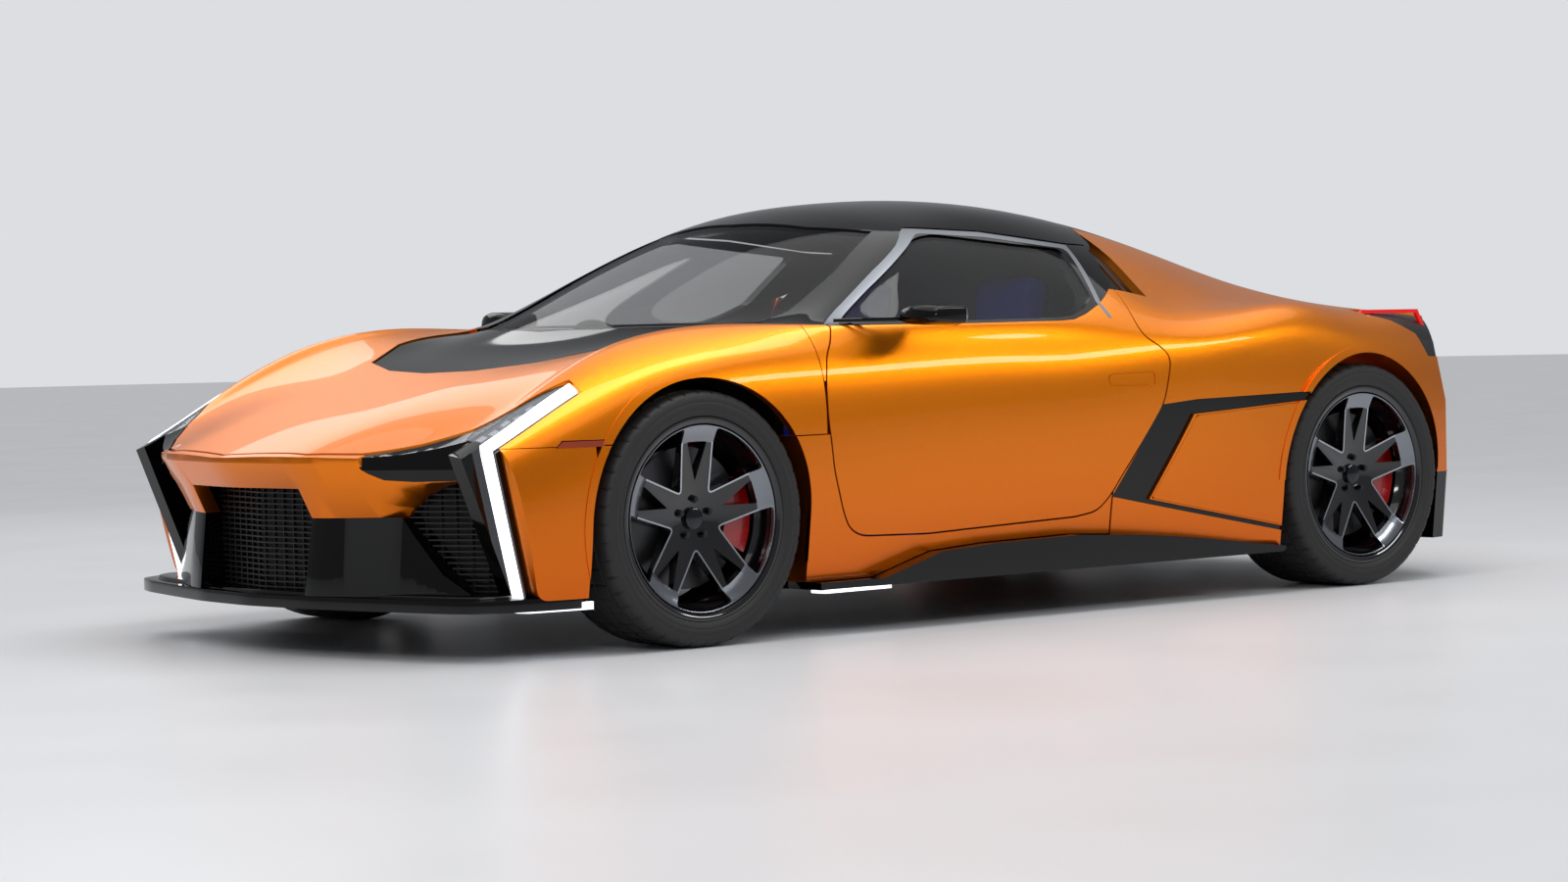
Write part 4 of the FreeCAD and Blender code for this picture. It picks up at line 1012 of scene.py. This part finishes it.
def mirror_pod(side):
    """Slim pod with a bright edge at its rear, on a flat arm with an opening through it."""
    rings = []
    for y, x0, x1, z0, z1, c in MIRROR_POD:
        ring = rounded([(x0, z0), (x1, z0 + 6), (x1 + 4, (z0 + z1) / 2), (x1 - 8, z1), (x0, z1)], c, 5)
        rings.append([(x, y, z) for x, z in ring + ring[:1]])
    pod = lofted("mirror_shell_" + side, rings)
    bevel(pod, 7, 4, 50)
    edge = mirror_layer(pod, "mirror_edge_" + side, MIRROR_EDGE_SCALE, MIRROR_EDGE_X)
    glass = mirror_layer(pod, "mirror_glass_" + side, MIRROR_GLASS_SCALE, MIRROR_GLASS_X)
    arm = prism_z(rounded(MIRROR_ARM, 6, 3), *MIRROR_ARM_Z)
    cut(arm, prism_z(rounded(MIRROR_ARM_HOLE, 5, 3), 800, 900), copy_of(form(1), "skin_tool"))
    largest_island(arm)
    bevel(arm, 1.5, 2, 50)
    pod = joined(pod, arm)
    for piece, slot in ((pod, "gloss_black"), (edge, "bright_chrome"), (glass, "mirror_glass")):
        smooth(on_side(piece, side))
        finish(piece, slot, "door_" + side, *(["mirror_" + side] if piece is pod else []))


def cowl_panel():
    outline = COWL_FRONT + [(812, 632)] + list(reversed(SCREEN_BASE))
    obj = shell_piece("scuttle_cover", *COWL_DEPTHS, plan_region(outline))
    finish_skin(obj, "gloss_black", "chassis", "cowl_panel")


def windscreen():
    inside = [(x - 0.5, y) for x, y in SCREEN_BASE]
    inside += [(x + 2.5, y - 2.5) for x, y in SCREEN_SIDE] + [(x + 0.5, y) for x, y in HEADER]
    region = plan_region(inside, 700)
    obj = shell_piece("screen_pane", GLASS_RECESS, GLASS_RECESS + GLASS, region)
    finish_skin(obj, "tinted_glass", "chassis", "windscreen")


def roof():
    pillars = list(reversed(SCREEN_SIDE)) + [(805, 630)]
    outline = list(reversed(HEADER)) + pillars + [(806, 686)] + DOOR_TOP + ROOF_REAR
    obj = shell_piece("roof_skin", 0, PANEL, plan_region(outline, BELT_Z - 8))
    pair_of_doors_cut(obj)
    finish_skin(obj, "gloss_black", "chassis", "roof")


def hatch_plan(grow=0.0):
    front, rear = HATCH_FRONT_X + grow, HATCH_REAR_X - grow
    return [(front, 0), (front + 22, HATCH_HALF_FRONT + grow), (rear, HATCH_HALF_REAR + grow), (rear, 0)]


def rear_hatch():
    obj = shell_piece("hatch_skin", 0, PANEL, plan_region(hatch_plan(), HATCH_LOW_Z))
    finish_skin(obj, "gloss_black", "rear_hatch", "rear_hatch")


def tail_lean(z):
    for (low, a), (high, b) in zip(TAIL_LEAN, TAIL_LEAN[1:]):
        if low <= z <= high:
            return a + (b - a) * (z - low) / (high - low)


def body_plan(shift, z0, z1):
    """Block over the plan outline, its tail leaning forwards with height."""
    half = [(x - shift, y) for x, y in NOSE_PLAN] + [(x + shift, y) for x, y in TAIL_PLAN]
    outline = rounded(half + [(x, -y) for x, y in reversed(half[1:-1])], 120, 6)
    levels = [z0] + [level for level, _ in TAIL_LEAN if z0 < level < z1] + [z1]
    rings = []
    for z in levels:
        lean = tail_lean(z)
        rings.append([(x + (lean if x < -1600 else 0), y, z) for x, y in outline + outline[:1]])
    return lofted("plan_block", rings)


def tail_recess():
    """What lies behind the tail plane moved in by the depth of the recess."""
    region = block(-PAST_END, -1900, -RECESS_HALF, RECESS_HALF, *RECESS_Z)
    return combine(region, body_plan(RECESS_DEPTH, *RECESS_Z), "DIFFERENCE")


def rear_body():
    behind = block(-PAST_END, REAR_SHELL_X, -PAST_SIDE, PAST_SIDE, FLOOR_Z, BODY_TOP)
    obj = form_piece("rear_shell", 0, body_plan(0, 0, BODY_TOP), behind)
    roof_line = list(reversed(HEADER)) + SHELL_ROOF_LINE
    cut(obj, plan_region(roof_line, 700), plan_region(hatch_plan(LID_GAP), HATCH_LOW_Z))
    cut(obj, block(CABIN_BACK_X, 0, -CABIN_HALF, CABIN_HALF, 0, BODY_TOP), block(*REAR_BAY))
    cut(obj, block(-PAST_END, REAR_BAY[0], -PAST_SIDE, PAST_SIDE, 0, TAIL_LOW_Z), *wells())
    cut(obj, tail_recess())
    pair_of_doors_cut(obj)
    low = [(x, z - 2) for x, z in SIDE_PAINT_LOW] + [(-1040, 0), (920, 0)]
    sides = [(grown(BLADE, 1), BLADE_Y), (grown(INTAKE_PANEL, 1), INTAKE_Y), (low, 300)]
    sides += [(LAMP_WEDGE, WEDGE_Y), (TAIL_LINE, TAIL_LINE_Y)]
    for outline, y0 in sides:
        cut(obj, prism_y(outline, y0, PAST_SIDE), mirror_across(prism_y(outline, y0, PAST_SIDE)))
    finish_skin(obj, "orange_paint", "chassis", "rear_body")


def quarter_cover():
    """Black cover under the skin that closes the corner between roof, door and rear shell."""
    obj = shell_piece("quarter_cover", PANEL + 1, PANEL + 4, prism_y(QUARTER, QUARTER_Y, PAST_SIDE))
    pair_of_doors_cut(obj)
    finish_skin(obj, "gloss_black", "chassis")
    both_sides(obj)


def side_sill():
    outline = [(1050, 150)] + SIDE_PAINT_LOW[1:5] + [(-316, 219), (-316, 500), (700, 500)]
    outline += [(700, SPLIT_Z - 3), (1050, SPLIT_Z - 3)]
    obj = form_piece("sill_skin", 0, prism_y(outline, CABIN_HALF + SEAT_GAP, PAST_SIDE))
    cut(obj, well(FRONT_AXLE_X, FRONT_WELL_Y), door_hole())
    finish_pair(obj, "orange_paint", "chassis", "side_sills")


def intake_pieces():
    blade = form_piece("intake_blade", 8, prism_y(BLADE, BLADE_Y + 1, PAST_SIDE))
    cut(blade, door_hole(), well(REAR_AXLE_X, REAR_WELL_Y))
    finish_pair(blade, "gloss_black", "chassis", "intake_blades")
    panel = form_piece("intake_cover", 0, prism_y(rounded(INTAKE_PANEL, 12), INTAKE_Y + 1, PAST_SIDE))
    cut(panel, well(REAR_AXLE_X, REAR_WELL_Y))
    finish_pair(panel, "orange_paint", "chassis", "intake_panels")


# Cabin
def cushion(name, outline, y0, y1, soft):
    """Stuffed block: a side outline taken across, with soft edges."""
    obj = prism_y(outline, y0, y1)
    obj.name = name
    return smooth(bevel(obj, soft, 4, 25), CUSHION_DEG)


def seats():
    """Shell seats: padded squab and back between raised bolsters, and a headrest on the same shell."""
    for side in (1, -1):
        tag = "_left" if side > 0 else "_right"
        inner, outer = SEAT_Y - SEAT_HALF, SEAT_Y + SEAT_HALF
        rest_y = (SEAT_Y - HEADREST_HALF, SEAT_Y + HEADREST_HALF)
        pieces = [
            cushion("seat_squab" + tag, SQUAB, inner + CUSHION_INSET, outer - CUSHION_INSET, CUSHION_SOFT),
            cushion("seat_back" + tag, SEAT_BACK, inner + CUSHION_INSET, outer - CUSHION_INSET, CUSHION_SOFT),
            cushion("seat_headrest" + tag, HEADREST, *rest_y, HEADREST_SOFT),
        ]
        shell = [prism_y(SEAT_SHELL, inner + 4, outer - 4)]
        shell[0].name = "seat_shell" + tag
        for y in (inner, outer - BOLSTER):
            shell.append(prism_y(SEAT_BOLSTER, y, y + BOLSTER))
        for part in shell:
            bevel(part, SHELL_SOFT, 4, 25)
        shell = smooth(joined(*shell), CUSHION_DEG)
        for piece in pieces + [shell]:
            if side < 0:
                mirror_across(piece)
            finish(piece, "blue_upholstery", "chassis", *(["seats"] if side > 0 and piece is shell else []))


# Nose
def nose_outline(back):
    half = [(x - back, y) for x, y in NOSE_PLAN[:-1]] + [(1500, 872)]
    return rounded(half + [(x, -y) for x, y in reversed(half[1:])], 70, 4)


def nose_block(back=0, taper=NOSE_TAPER):
    """Block over the plan outline, moved back with depth, and by back all over."""
    rings = [[(x, y, z) for x, y in nose_outline(shift + back)] for z, shift in taper]
    return lofted("nose_block", [ring + ring[:1] for ring in rings])


def lid_room(gap):
    """Room for the lid in what lies under and before it."""
    ahead = [(x + gap, y + gap if y else 0) for x, y in LID_PLAN[:-2]] + LID_PLAN[-2:]
    return shell_piece("lid_room", -4, PANEL + gap, plan_region(ahead))


def nose_point(y, z, out):
    """Point that lies out before the bumper's surface."""
    for (za, a), (zb, b) in zip(NOSE_TAPER, NOSE_TAPER[1:]):
        if za <= z <= zb:
            shift = a + (b - a) * (z - za) / (zb - za)
    for (xa, ya), (xb, yb) in zip(NOSE_PLAN, NOSE_PLAN[1:]):
        if ya <= y <= yb:
            x = xa + (xb - xa) * (y - ya) / (yb - ya)
    return (x - shift + out, y, z)


def nose_skin():
    """Painted nose: a strip under the lid's edge and a tooth each side of the centre intake."""
    face = NOSE_FACE + [(-y, z) for y, z in reversed(NOSE_FACE) if y > 0]
    obj = combine(form_piece("nose_skin", 0, prism_x(face, 1800, PAST_END)), nose_block(), "INTERSECT")
    cut(obj, nose_block(NOSE_WALL), lid_room(LID_GAP + 1))
    closing = [(790, 440), (790, 300), (442, 300)]
    edges = ((FACET_EDGE, 6), (FILLET_EDGE, -30))
    rings = [[nose_point(y, z, out) for y, z in edge + closing] for edge, out in edges]
    facet = lofted("facet", [ring + ring[:1] for ring in rings])
    cut(obj, mirror_across(copy_of(facet, "facet_right")), facet)
    largest_island(obj)
    bevel(obj, 2.5, 2, 35)
    finish(shade(obj), "orange_paint", "chassis", "nose_panel")


def slat_plan(y0, y1, back, depth):
    """Plan of one slat that follows the bumper from y0 to y1."""
    ys = [y0 + (y1 - y0) * k / 8 for k in range(9)]
    front = [(nose_point(abs(y), 300, -back)[0], y) for y in ys]
    return front + [(x - depth, y) for x, y in reversed(front)]


def intake_grilles():
    """Fine slats across each intake, on posts before a dark backing."""
    pieces = []
    for y0, y1, back, z1 in GRILLES:
        for k in range(int((z1 - GRILLE_LOW_Z) / SLAT_STEP)):
            z = GRILLE_LOW_Z + k * SLAT_STEP
            pieces.append(prism_z(slat_plan(y0, y1, back + (z1 - z) * 0.02, SLAT_DEPTH), z, z + 4))
        for k in range(int((y1 - y0) / POST_STEP) + 1):
            y = y0 + k * POST_STEP
            x = nose_point(abs(y), 300, -back - 6)[0]
            pieces.append(block(x - 10, x, y, y + 3, 168, z1))
        pieces.append(prism_z(slat_plan(y0, y1, back + 40, 6), 166, z1))
    finish(joined(*pieces), "matt_black", "chassis", "grilles").name = "intake_slats"


def splitter_blade():
    """Flat blade with a raised lip, and the uprights between the intakes."""
    plan = rounded(whole_plan(SPLITTER_PLAN), 40, 4)
    blade = prism_z(plan, *SPLITTER_Z)
    blade.name = "splitter_blade"
    cut(blade, well(FRONT_AXLE_X, FRONT_WELL_Y), well(FRONT_AXLE_X, -FRONT_WELL_Y))
    bevel(blade, 5, 3, 50)
    lip_plan = [(x - SPLITTER_LIP_BACK, y * 0.97) for x, y in SPLITTER_PLAN[:6]] + [(1800, 800), (1800, 0)]
    lip = prism_z(rounded(whole_plan(lip_plan), 40, 4), *SPLITTER_LIP_Z)
    bevel(lip, 6, 3, 50)
    uprights = []
    for side in (1, -1):
        face = prism_x([(y * side, z) for y, z in PILLAR_FACE], 1850, PAST_END)
        upright = cut(combine(nose_block(1.5), face, "INTERSECT"), nose_block(150))
        bevel(upright, 3, 3, 35)
        uprights.append(upright)
    obj = smooth(joined(blade, lip, *uprights))
    finish(obj, "gloss_black", "chassis", "splitter")


def light_bar():
    bar = form_piece("light_bar", 1, prism_y(rounded(BAR_FACE, 14, 3), *BAR_Y))
    foot = prism_z(rounded(BAR_FOOT, 12, 3), *BAR_FOOT_Z)
    both_sides(joined(largest_island(bar), foot))
    finish(shade(bar), "white_light", "chassis", "light_bars")


def lamp_housing():
    """Black blade that runs to a point under the lid's edge, and the black edge outside the light bar."""
    spear = combine(nose_block(0, SPEAR_TAPER), prism_x(SPEAR_FACE, 1600, PAST_END), "INTERSECT")
    spear.name = "lamp_blade"
    leg = form_piece("lamp_leg", 5, prism_y(HOUSING_FACE, HOUSING_Y, BAR_Y[0] - BAR_ROOM))
    border = form_piece("lamp_border", 5, prism_y(BORDER_FACE, BAR_Y[0] - 2, CORNER_Y - 1))
    combine(spear, form_piece("under_skin", 3, block(1590, PAST_END, 0, 900, 400, 800)), "INTERSECT")
    combine(combine(spear, leg, "UNION"), border, "UNION")
    inboard = block(1500, PAST_END, -100, SPEAR_INNER_Y, 0, 900)
    cut(spear, lid_room(LID_GAP), well(FRONT_AXLE_X, FRONT_WELL_Y), inboard)
    bar_room = prism_y(grown(BAR_FACE, BAR_ROOM), BAR_Y[0] - BAR_ROOM, BAR_Y[1] + BAR_ROOM)
    cut(spear, bar_room, prism_z(LENS_PLAN, *LENS_Z))
    largest_island(spear)
    bevel(spear, 1.5, 2, 35)
    both_sides(spear)
    finish(shade(spear), "gloss_black", "chassis", "lamp_housings")


def arch_lips():
    """Narrow raised band round each wheel opening, parted where the lid meets the fixed panels."""
    for name, axle, inner, body, (x0, x1, z0, z1) in ARCH_LIPS:
        ends = (axle, 700, TYRE_RADIUS), (axle, PAST_SIDE, TYRE_RADIUS)
        ring = round_bar(ARCH_RADIUS + LIP_WIDTH, *ends, ROUND_STEPS)
        combine(ring, block(x0, x1, 700, PAST_SIDE, z0, z1), "INTERSECT")
        obj = shell_piece(name, -LIP_RISE, 12, ring)
        cut(obj, well(axle, inner), prism_y(grown(BLADE, 0.5), 700, PAST_SIDE))
        bevel(obj, 1.5, 2, 50)
        both_sides(obj)
        finish(shade(obj), "orange_paint", body)


def sill_light():
    """Lit blade under the front of the skirt, behind the front wheel."""
    obj = prism_z(SILL_LIGHT_PLAN, *SILL_LIGHT_Z)
    obj.name = "sill_light"
    bevel(obj, 2, 2, 50)
    finish(both_sides(obj), "white_light", "chassis")


def headlamp():
    """Clear cover over a row of small reflectors between the lid's edge and the light bar."""
    cover = shell_piece("headlamp_cover", 3, 6, prism_z(LENS_PLAN, *LENS_Z))
    cut(cover, lid_room(LID_GAP))
    finish_pair(cover, "clear_lens", "chassis")
    pieces = []
    for k in range(REFLECTORS):
        x, y = (first + k * step for first, step in zip(REFLECTOR_CORNER, REFLECTOR_STEP))
        cube = block(x - REFLECTOR_SIZE[0], x, y - REFLECTOR_SIZE[1] + k * 3, y, 540, 800)
        under = form_piece("under_lens", 12 + 4 * (k % 2), block(1590, 1900, 600, 900, 500, 800))
        combine(cube, under, "INTERSECT")
        pieces.append(cube)
    obj = joined(*pieces)
    obj.name = "headlamp_reflectors"
    bevel(obj, 3, 1, 35)
    both_sides(obj)
    finish(obj, "machined_alloy", "chassis")


def front_corner():
    outline = rounded(CORNER_FACE, 34, 6, (0, 2, 3))
    obj = form_piece("front_corner", 0, prism_y(outline, CORNER_Y, PAST_SIDE))
    cut(obj, well(FRONT_AXLE_X, FRONT_WELL_Y))
    largest_island(obj)
    bevel(obj, 2, 2, 50)
    both_sides(obj)
    finish(shade(obj), "orange_paint", "chassis", "front_corners")


def side_marker():
    """Amber lens in a dark surround, on the fender above the front corner."""
    layers = (("marker_surround", 3, -0.4, "gloss_black"), ("marker_lens", 0, -1.2, "amber_lens"))
    for name, grow, outer, slot in layers:
        obj = shell_piece(name, outer, 6, prism_y(grown(MARKER, grow) if grow else MARKER, 850, PAST_SIDE))
        below = block(*LID_FLANK_X, LID_FLANK_Y, PAST_SIDE, 0, SPLIT_Z - 4)
        cut(obj, well(FRONT_AXLE_X, FRONT_WELL_Y), below)
        finish_pair(obj, slot, "front_lid")


# Wheels
def turned(name, profile, steps=120):
    """Closed (depth, radius) profile swept round a left wheel's axle at the origin."""
    bpy.ops.object.select_all(action="DESELECT")
    bpy.ops.mesh.primitive_circle_add(vertices=len(profile), fill_type="NOTHING")
    obj = bpy.context.object
    obj.name = name
    for vertex, (depth, radius) in zip(obj.data.vertices, profile):
        vertex.co = Vector((0, SIDEWALL_Y - depth, radius)) * MM
    modify(obj, "SCREW", axis="Y", angle=math.radians(360), steps=steps, render_steps=steps,
           use_merge_vertices=True, merge_threshold=1e-5, use_normal_calculate=True)
    edit(obj)
    bpy.ops.mesh.normals_make_consistent(inside=False)
    return done()


def wheel_window(grow=0.0):
    """Five V-shaped openings as one tool: straight arms from the tip, an arc along the rim."""
    half = math.radians(WINDOW_HALF_DEG)
    tools = []
    for i in range(SPOKES):
        middle = math.radians(WINDOW_DEG + i * 360 / SPOKES)
        polar = [(WINDOW_TIP_RADIUS, 0)] + [(WINDOW_RIM_RADIUS, half * (k / 5 - 1)) for k in range(11)]
        outline = [(r * math.cos(middle + a), r * math.sin(middle + a)) for r, a in polar]
        outline = rounded(outline, 12, 3)
        tools.append(prism_y(grown(outline, grow) if grow else outline, *WHEEL_TOOL_Y))
    return joined(*tools)


def spoke_slots():
    """Long triangles that part each spoke into two arms."""
    tools = []
    for i in range(SPOKES):
        middle = math.radians(SPOKE_DEG + i * 360 / SPOKES)
        c, s = math.cos(middle), math.sin(middle)
        outline = [(a * c - b * s, a * s + b * c) for a, b in rounded(SPOKE_SLOT, 7, 3)]
        tools.append(prism_y(outline, *WHEEL_TOOL_Y))
    return joined(*tools)


def wheel_face():
    """Spokes, the machined edges of their windows, and the bright facets at their outer ends."""
    face = turned("spokes", SPOKE_PROFILE)
    cut(face, wheel_window(), spoke_slots())
    bevel(face, 1.2, 2, 40)
    edges = turned("edges", EDGE_PROFILE)
    combine(edges, wheel_window(EDGE_WIDTH), "INTERSECT")
    cut(edges, wheel_window())
    facets = turned("facets", FACET_PROFILE)
    cut(facets, wheel_window(), spoke_slots())
    bevel(facets, 1.0, 2, 40)
    nuts = [turned("cap", CAP_PROFILE, 48)]
    for i in range(SPOKES):
        a = math.radians(SPOKE_DEG + i * 360 / SPOKES)
        x, z = NUT_CIRCLE * math.cos(a), NUT_CIRCLE * math.sin(a)
        nuts.append(round_bar(10, (x, SIDEWALL_Y - 80, z), (x, SIDEWALL_Y - 47, z), 6))
        nuts.append(round_bar(6, (x, SIDEWALL_Y - 48, z), (x, SIDEWALL_Y - 44, z), 16))
    return face, edges, facets, joined(*nuts)


def wheel_barrel(w):
    """Rim well with its lip, turned in one piece."""
    return turned("barrel", [
        (9, 268), (9.5, 274), (12, 275.8), (22, 275.8), (24, 262), (60, 258), (84, 240),
        (w - 62, 240), (w - 32, 262), (w - 24, 275.8), (w - 12, 275.8), (w - 12, 266), (w - 30, 250),
        (w - 58, 229), (78, 229), (54, 247), (26, 251), (14, 256), (10, 263)], ROUND_STEPS)


def tyre(w):
    """Tyre with rounded sidewalls, ringed grooves and notched shoulders."""
    tread = []
    for share in GROOVES:
        middle = share * w
        tread += [(middle - 5.5, TYRE_RADIUS), (middle - 4, GROOVE_FLOOR)]
        tread += [(middle + 4, GROOVE_FLOOR), (middle + 5.5, TYRE_RADIUS)]
    profile = TYRE_SIDE + tread + [(w - d, r) for d, r in reversed(TYRE_SIDE)]
    obj = turned("tyre", profile, TYRE_STEPS)
    for vertex in obj.data.vertices:
        depth = SIDEWALL_Y - vertex.co.y / MM
        radius = math.hypot(vertex.co.x, vertex.co.z) / MM
        step = round(math.degrees(math.atan2(vertex.co.z, vertex.co.x)) * TYRE_STEPS / 360)
        shoulder = min(depth, w - depth)
        notch = NOTCH_DEPTH if step % NOTCH_EVERY == 0 and 5 < shoulder < 0.2 * w - 6 and radius > 330 else 0
        if step % NOTCH_EVERY == NOTCH_EVERY // 2 and 5 < depth - 0.2 * w < 0.6 * w - 10:
            notch = NOTCH_DEPTH
        if notch:
            vertex.co.x *= (radius - notch) / radius
            vertex.co.z *= (radius - notch) / radius
    return obj


def placed(obj, axle_x, side, name):
    """Copy of a wheel piece made at the origin, moved to its axle and turned over for the right side."""
    twin = copy_of(obj, name)
    twin.data.transform(Matrix.Translation((axle_x * MM, 0, TYRE_RADIUS * MM)))
    if side == "right":
        mirror_across(twin)
    return smooth(twin)


def wheels():
    made = wheel_face()
    labels = ("spoke_edges", "spoke_facets", "wheel_hub")
    slots = ("machined_alloy", "facet_alloy", "dark_chrome")
    ends = (("front", FRONT_AXLE_X, FRONT_TYRE_WIDTH), ("rear", REAR_AXLE_X, REAR_TYRE_WIDTH))
    for end, axle_x, width in ends:
        barrel, rubber = wheel_barrel(width), tyre(width)
        for side in ("left", "right"):
            body, tag = "wheel_%s_%s" % (end, side), "_%s_%s" % (end, side)
            alloy = placed(barrel, axle_x, side, "alloy_wheel" + tag)
            alloy = joined(alloy, placed(made[0], axle_x, side, "spokes"))
            finish(alloy, "black_alloy", body, "%s_rim_%s" % (end, side))
            for piece, label, slot in zip(made[1:], labels, slots):
                finish(placed(piece, axle_x, side, label + tag), slot, body)
            round_piece = placed(rubber, axle_x, side, "grooved_tyre" + tag)
            finish(round_piece, "tyre_rubber", body, "%s_tyre_%s" % (end, side))
        discard(barrel)
        discard(rubber)
    for piece in made:
        discard(piece)


front_lid()
scuttle_corners()
for hand in ("left", "right"):
    door(hand)
    window_frame(hand)
    window_trim(hand)
    mirror_pod(hand)
    door_glass(hand)
cowl_panel()
windscreen()
roof()
rear_hatch()
rear_body()
side_sill()
intake_pieces()
seats()
quarter_cover()
arch_lips()
sill_light()
nose_skin()
intake_grilles()
splitter_blade()
light_bar()
lamp_housing()
headlamp()
front_corner()
side_marker()
wheels()
for leftover in FORMS.values():
    discard(leftover)


# Camera, floor and light, in metres. The camera stands where the photograph's wheels and lamps fit best.
CAMERA_LENS_MM = 91.48
CAMERA_PLACE = (7.99437, 9.12016, 0.929)
CAMERA_RIGHT = (-0.75857, 0.65124, -0.02154)
CAMERA_UP = (-0.03968, -0.01317, 0.99913)
CAMERA_BACK = (0.65039, 0.75876, 0.03583)
# Softboxes: place, what they point at, width, depth, watts
SOFTBOXES = (
    ((0.0, 1.2, 5.0), (0.0, 0, 0.5), 5.5, 1.2, 110),
    ((5.5, 5.5, 3.6), (0.4, 0, 0.6), 3.0, 0.7, 90),
    ((-4.5, 6.0, 3.8), (-0.6, 0, 0.6), 3.2, 0.6, 80),
    ((0.0, -6.0, 4.2), (0, 0, 0.7), 5.0, 2.0, 60),
)
CEILING_STRENGTH = 1.7
CEILING_SPREAD_DEG = 100


def camera():
    data = bpy.data.cameras.new("camera")
    data.lens = CAMERA_LENS_MM
    data.sensor_width = 36
    obj = bpy.data.objects.new("camera", data)
    bpy.context.collection.objects.link(obj)
    turn = Matrix((CAMERA_RIGHT, CAMERA_UP, CAMERA_BACK)).transposed().to_4x4()
    obj.matrix_world = Matrix.Translation(CAMERA_PLACE) @ turn
    bpy.context.scene.camera = obj


def studio_floor():
    bpy.ops.object.select_all(action="DESELECT")
    bpy.ops.mesh.primitive_circle_add(vertices=64, radius=40, fill_type="NGON")
    floor = bpy.context.object
    floor.name = "floor"
    material, tree, shader, coordinates = new_material("pale_studio_floor")
    grain = add(tree, "TexNoise", inputs={"Vector": coordinates, "Scale": 1.5, "Detail": 4.0})
    gloss = add(tree, "MapRange", inputs={"Value": grain.outputs["Fac"], "To Min": 0.28, "To Max": 0.4})
    set_inputs(shader, Base_Color=hex_colour("D2D3D5"))
    tree.links.new(gloss.outputs["Result"], shader.inputs["Roughness"])
    floor.data.materials.append(material)


def studio_world():
    """Pale background to the camera, dimmer as a light and dimmest in reflections."""
    world = bpy.data.worlds.new("studio")
    bpy.context.scene.world = world
    world.use_nodes = True
    tree = world.node_tree
    path = add(tree, "LightPath")
    seen = add(tree, "Math", {"operation": "MAXIMUM"}, {
        0: path.outputs["Is Camera Ray"], 1: path.outputs["Is Transmission Ray"]})
    strength = add(tree, "MapRange", inputs={"Value": seen.outputs[0], "To Min": 0.5, "To Max": 1.0})
    mirrored = add(tree, "Math", {"operation": "MULTIPLY"}, {0: path.outputs["Is Glossy Ray"], 1: 0.15})
    strength = add(tree, "Math", {"operation": "SUBTRACT"}, {
        0: strength.outputs["Result"], 1: mirrored.outputs[0]})
    background = tree.nodes["Background"]
    background.inputs["Color"].default_value = hex_colour("DCDEE2")
    tree.links.new(strength.outputs[0], background.inputs["Strength"])


def studio_lamps():
    sun = bpy.data.lights.new("ceiling", "SUN")
    sun.energy, sun.angle = CEILING_STRENGTH, math.radians(CEILING_SPREAD_DEG)
    bpy.context.collection.objects.link(bpy.data.objects.new("ceiling", sun))
    for i, (place, target, width, depth, power) in enumerate(SOFTBOXES):
        light = bpy.data.lights.new("softbox_%d" % i, "AREA")
        light.shape = "RECTANGLE"
        light.size, light.size_y, light.energy = width, depth, power
        obj = bpy.data.objects.new("softbox_%d" % i, light)
        bpy.context.collection.objects.link(obj)
        obj.location = place
        obj.rotation_euler = (Vector(target) - Vector(place)).to_track_quat("-Z", "Y").to_euler()


camera()
studio_floor()
studio_world()
studio_lamps()
bpy.context.scene.view_settings.view_transform = "Standard"
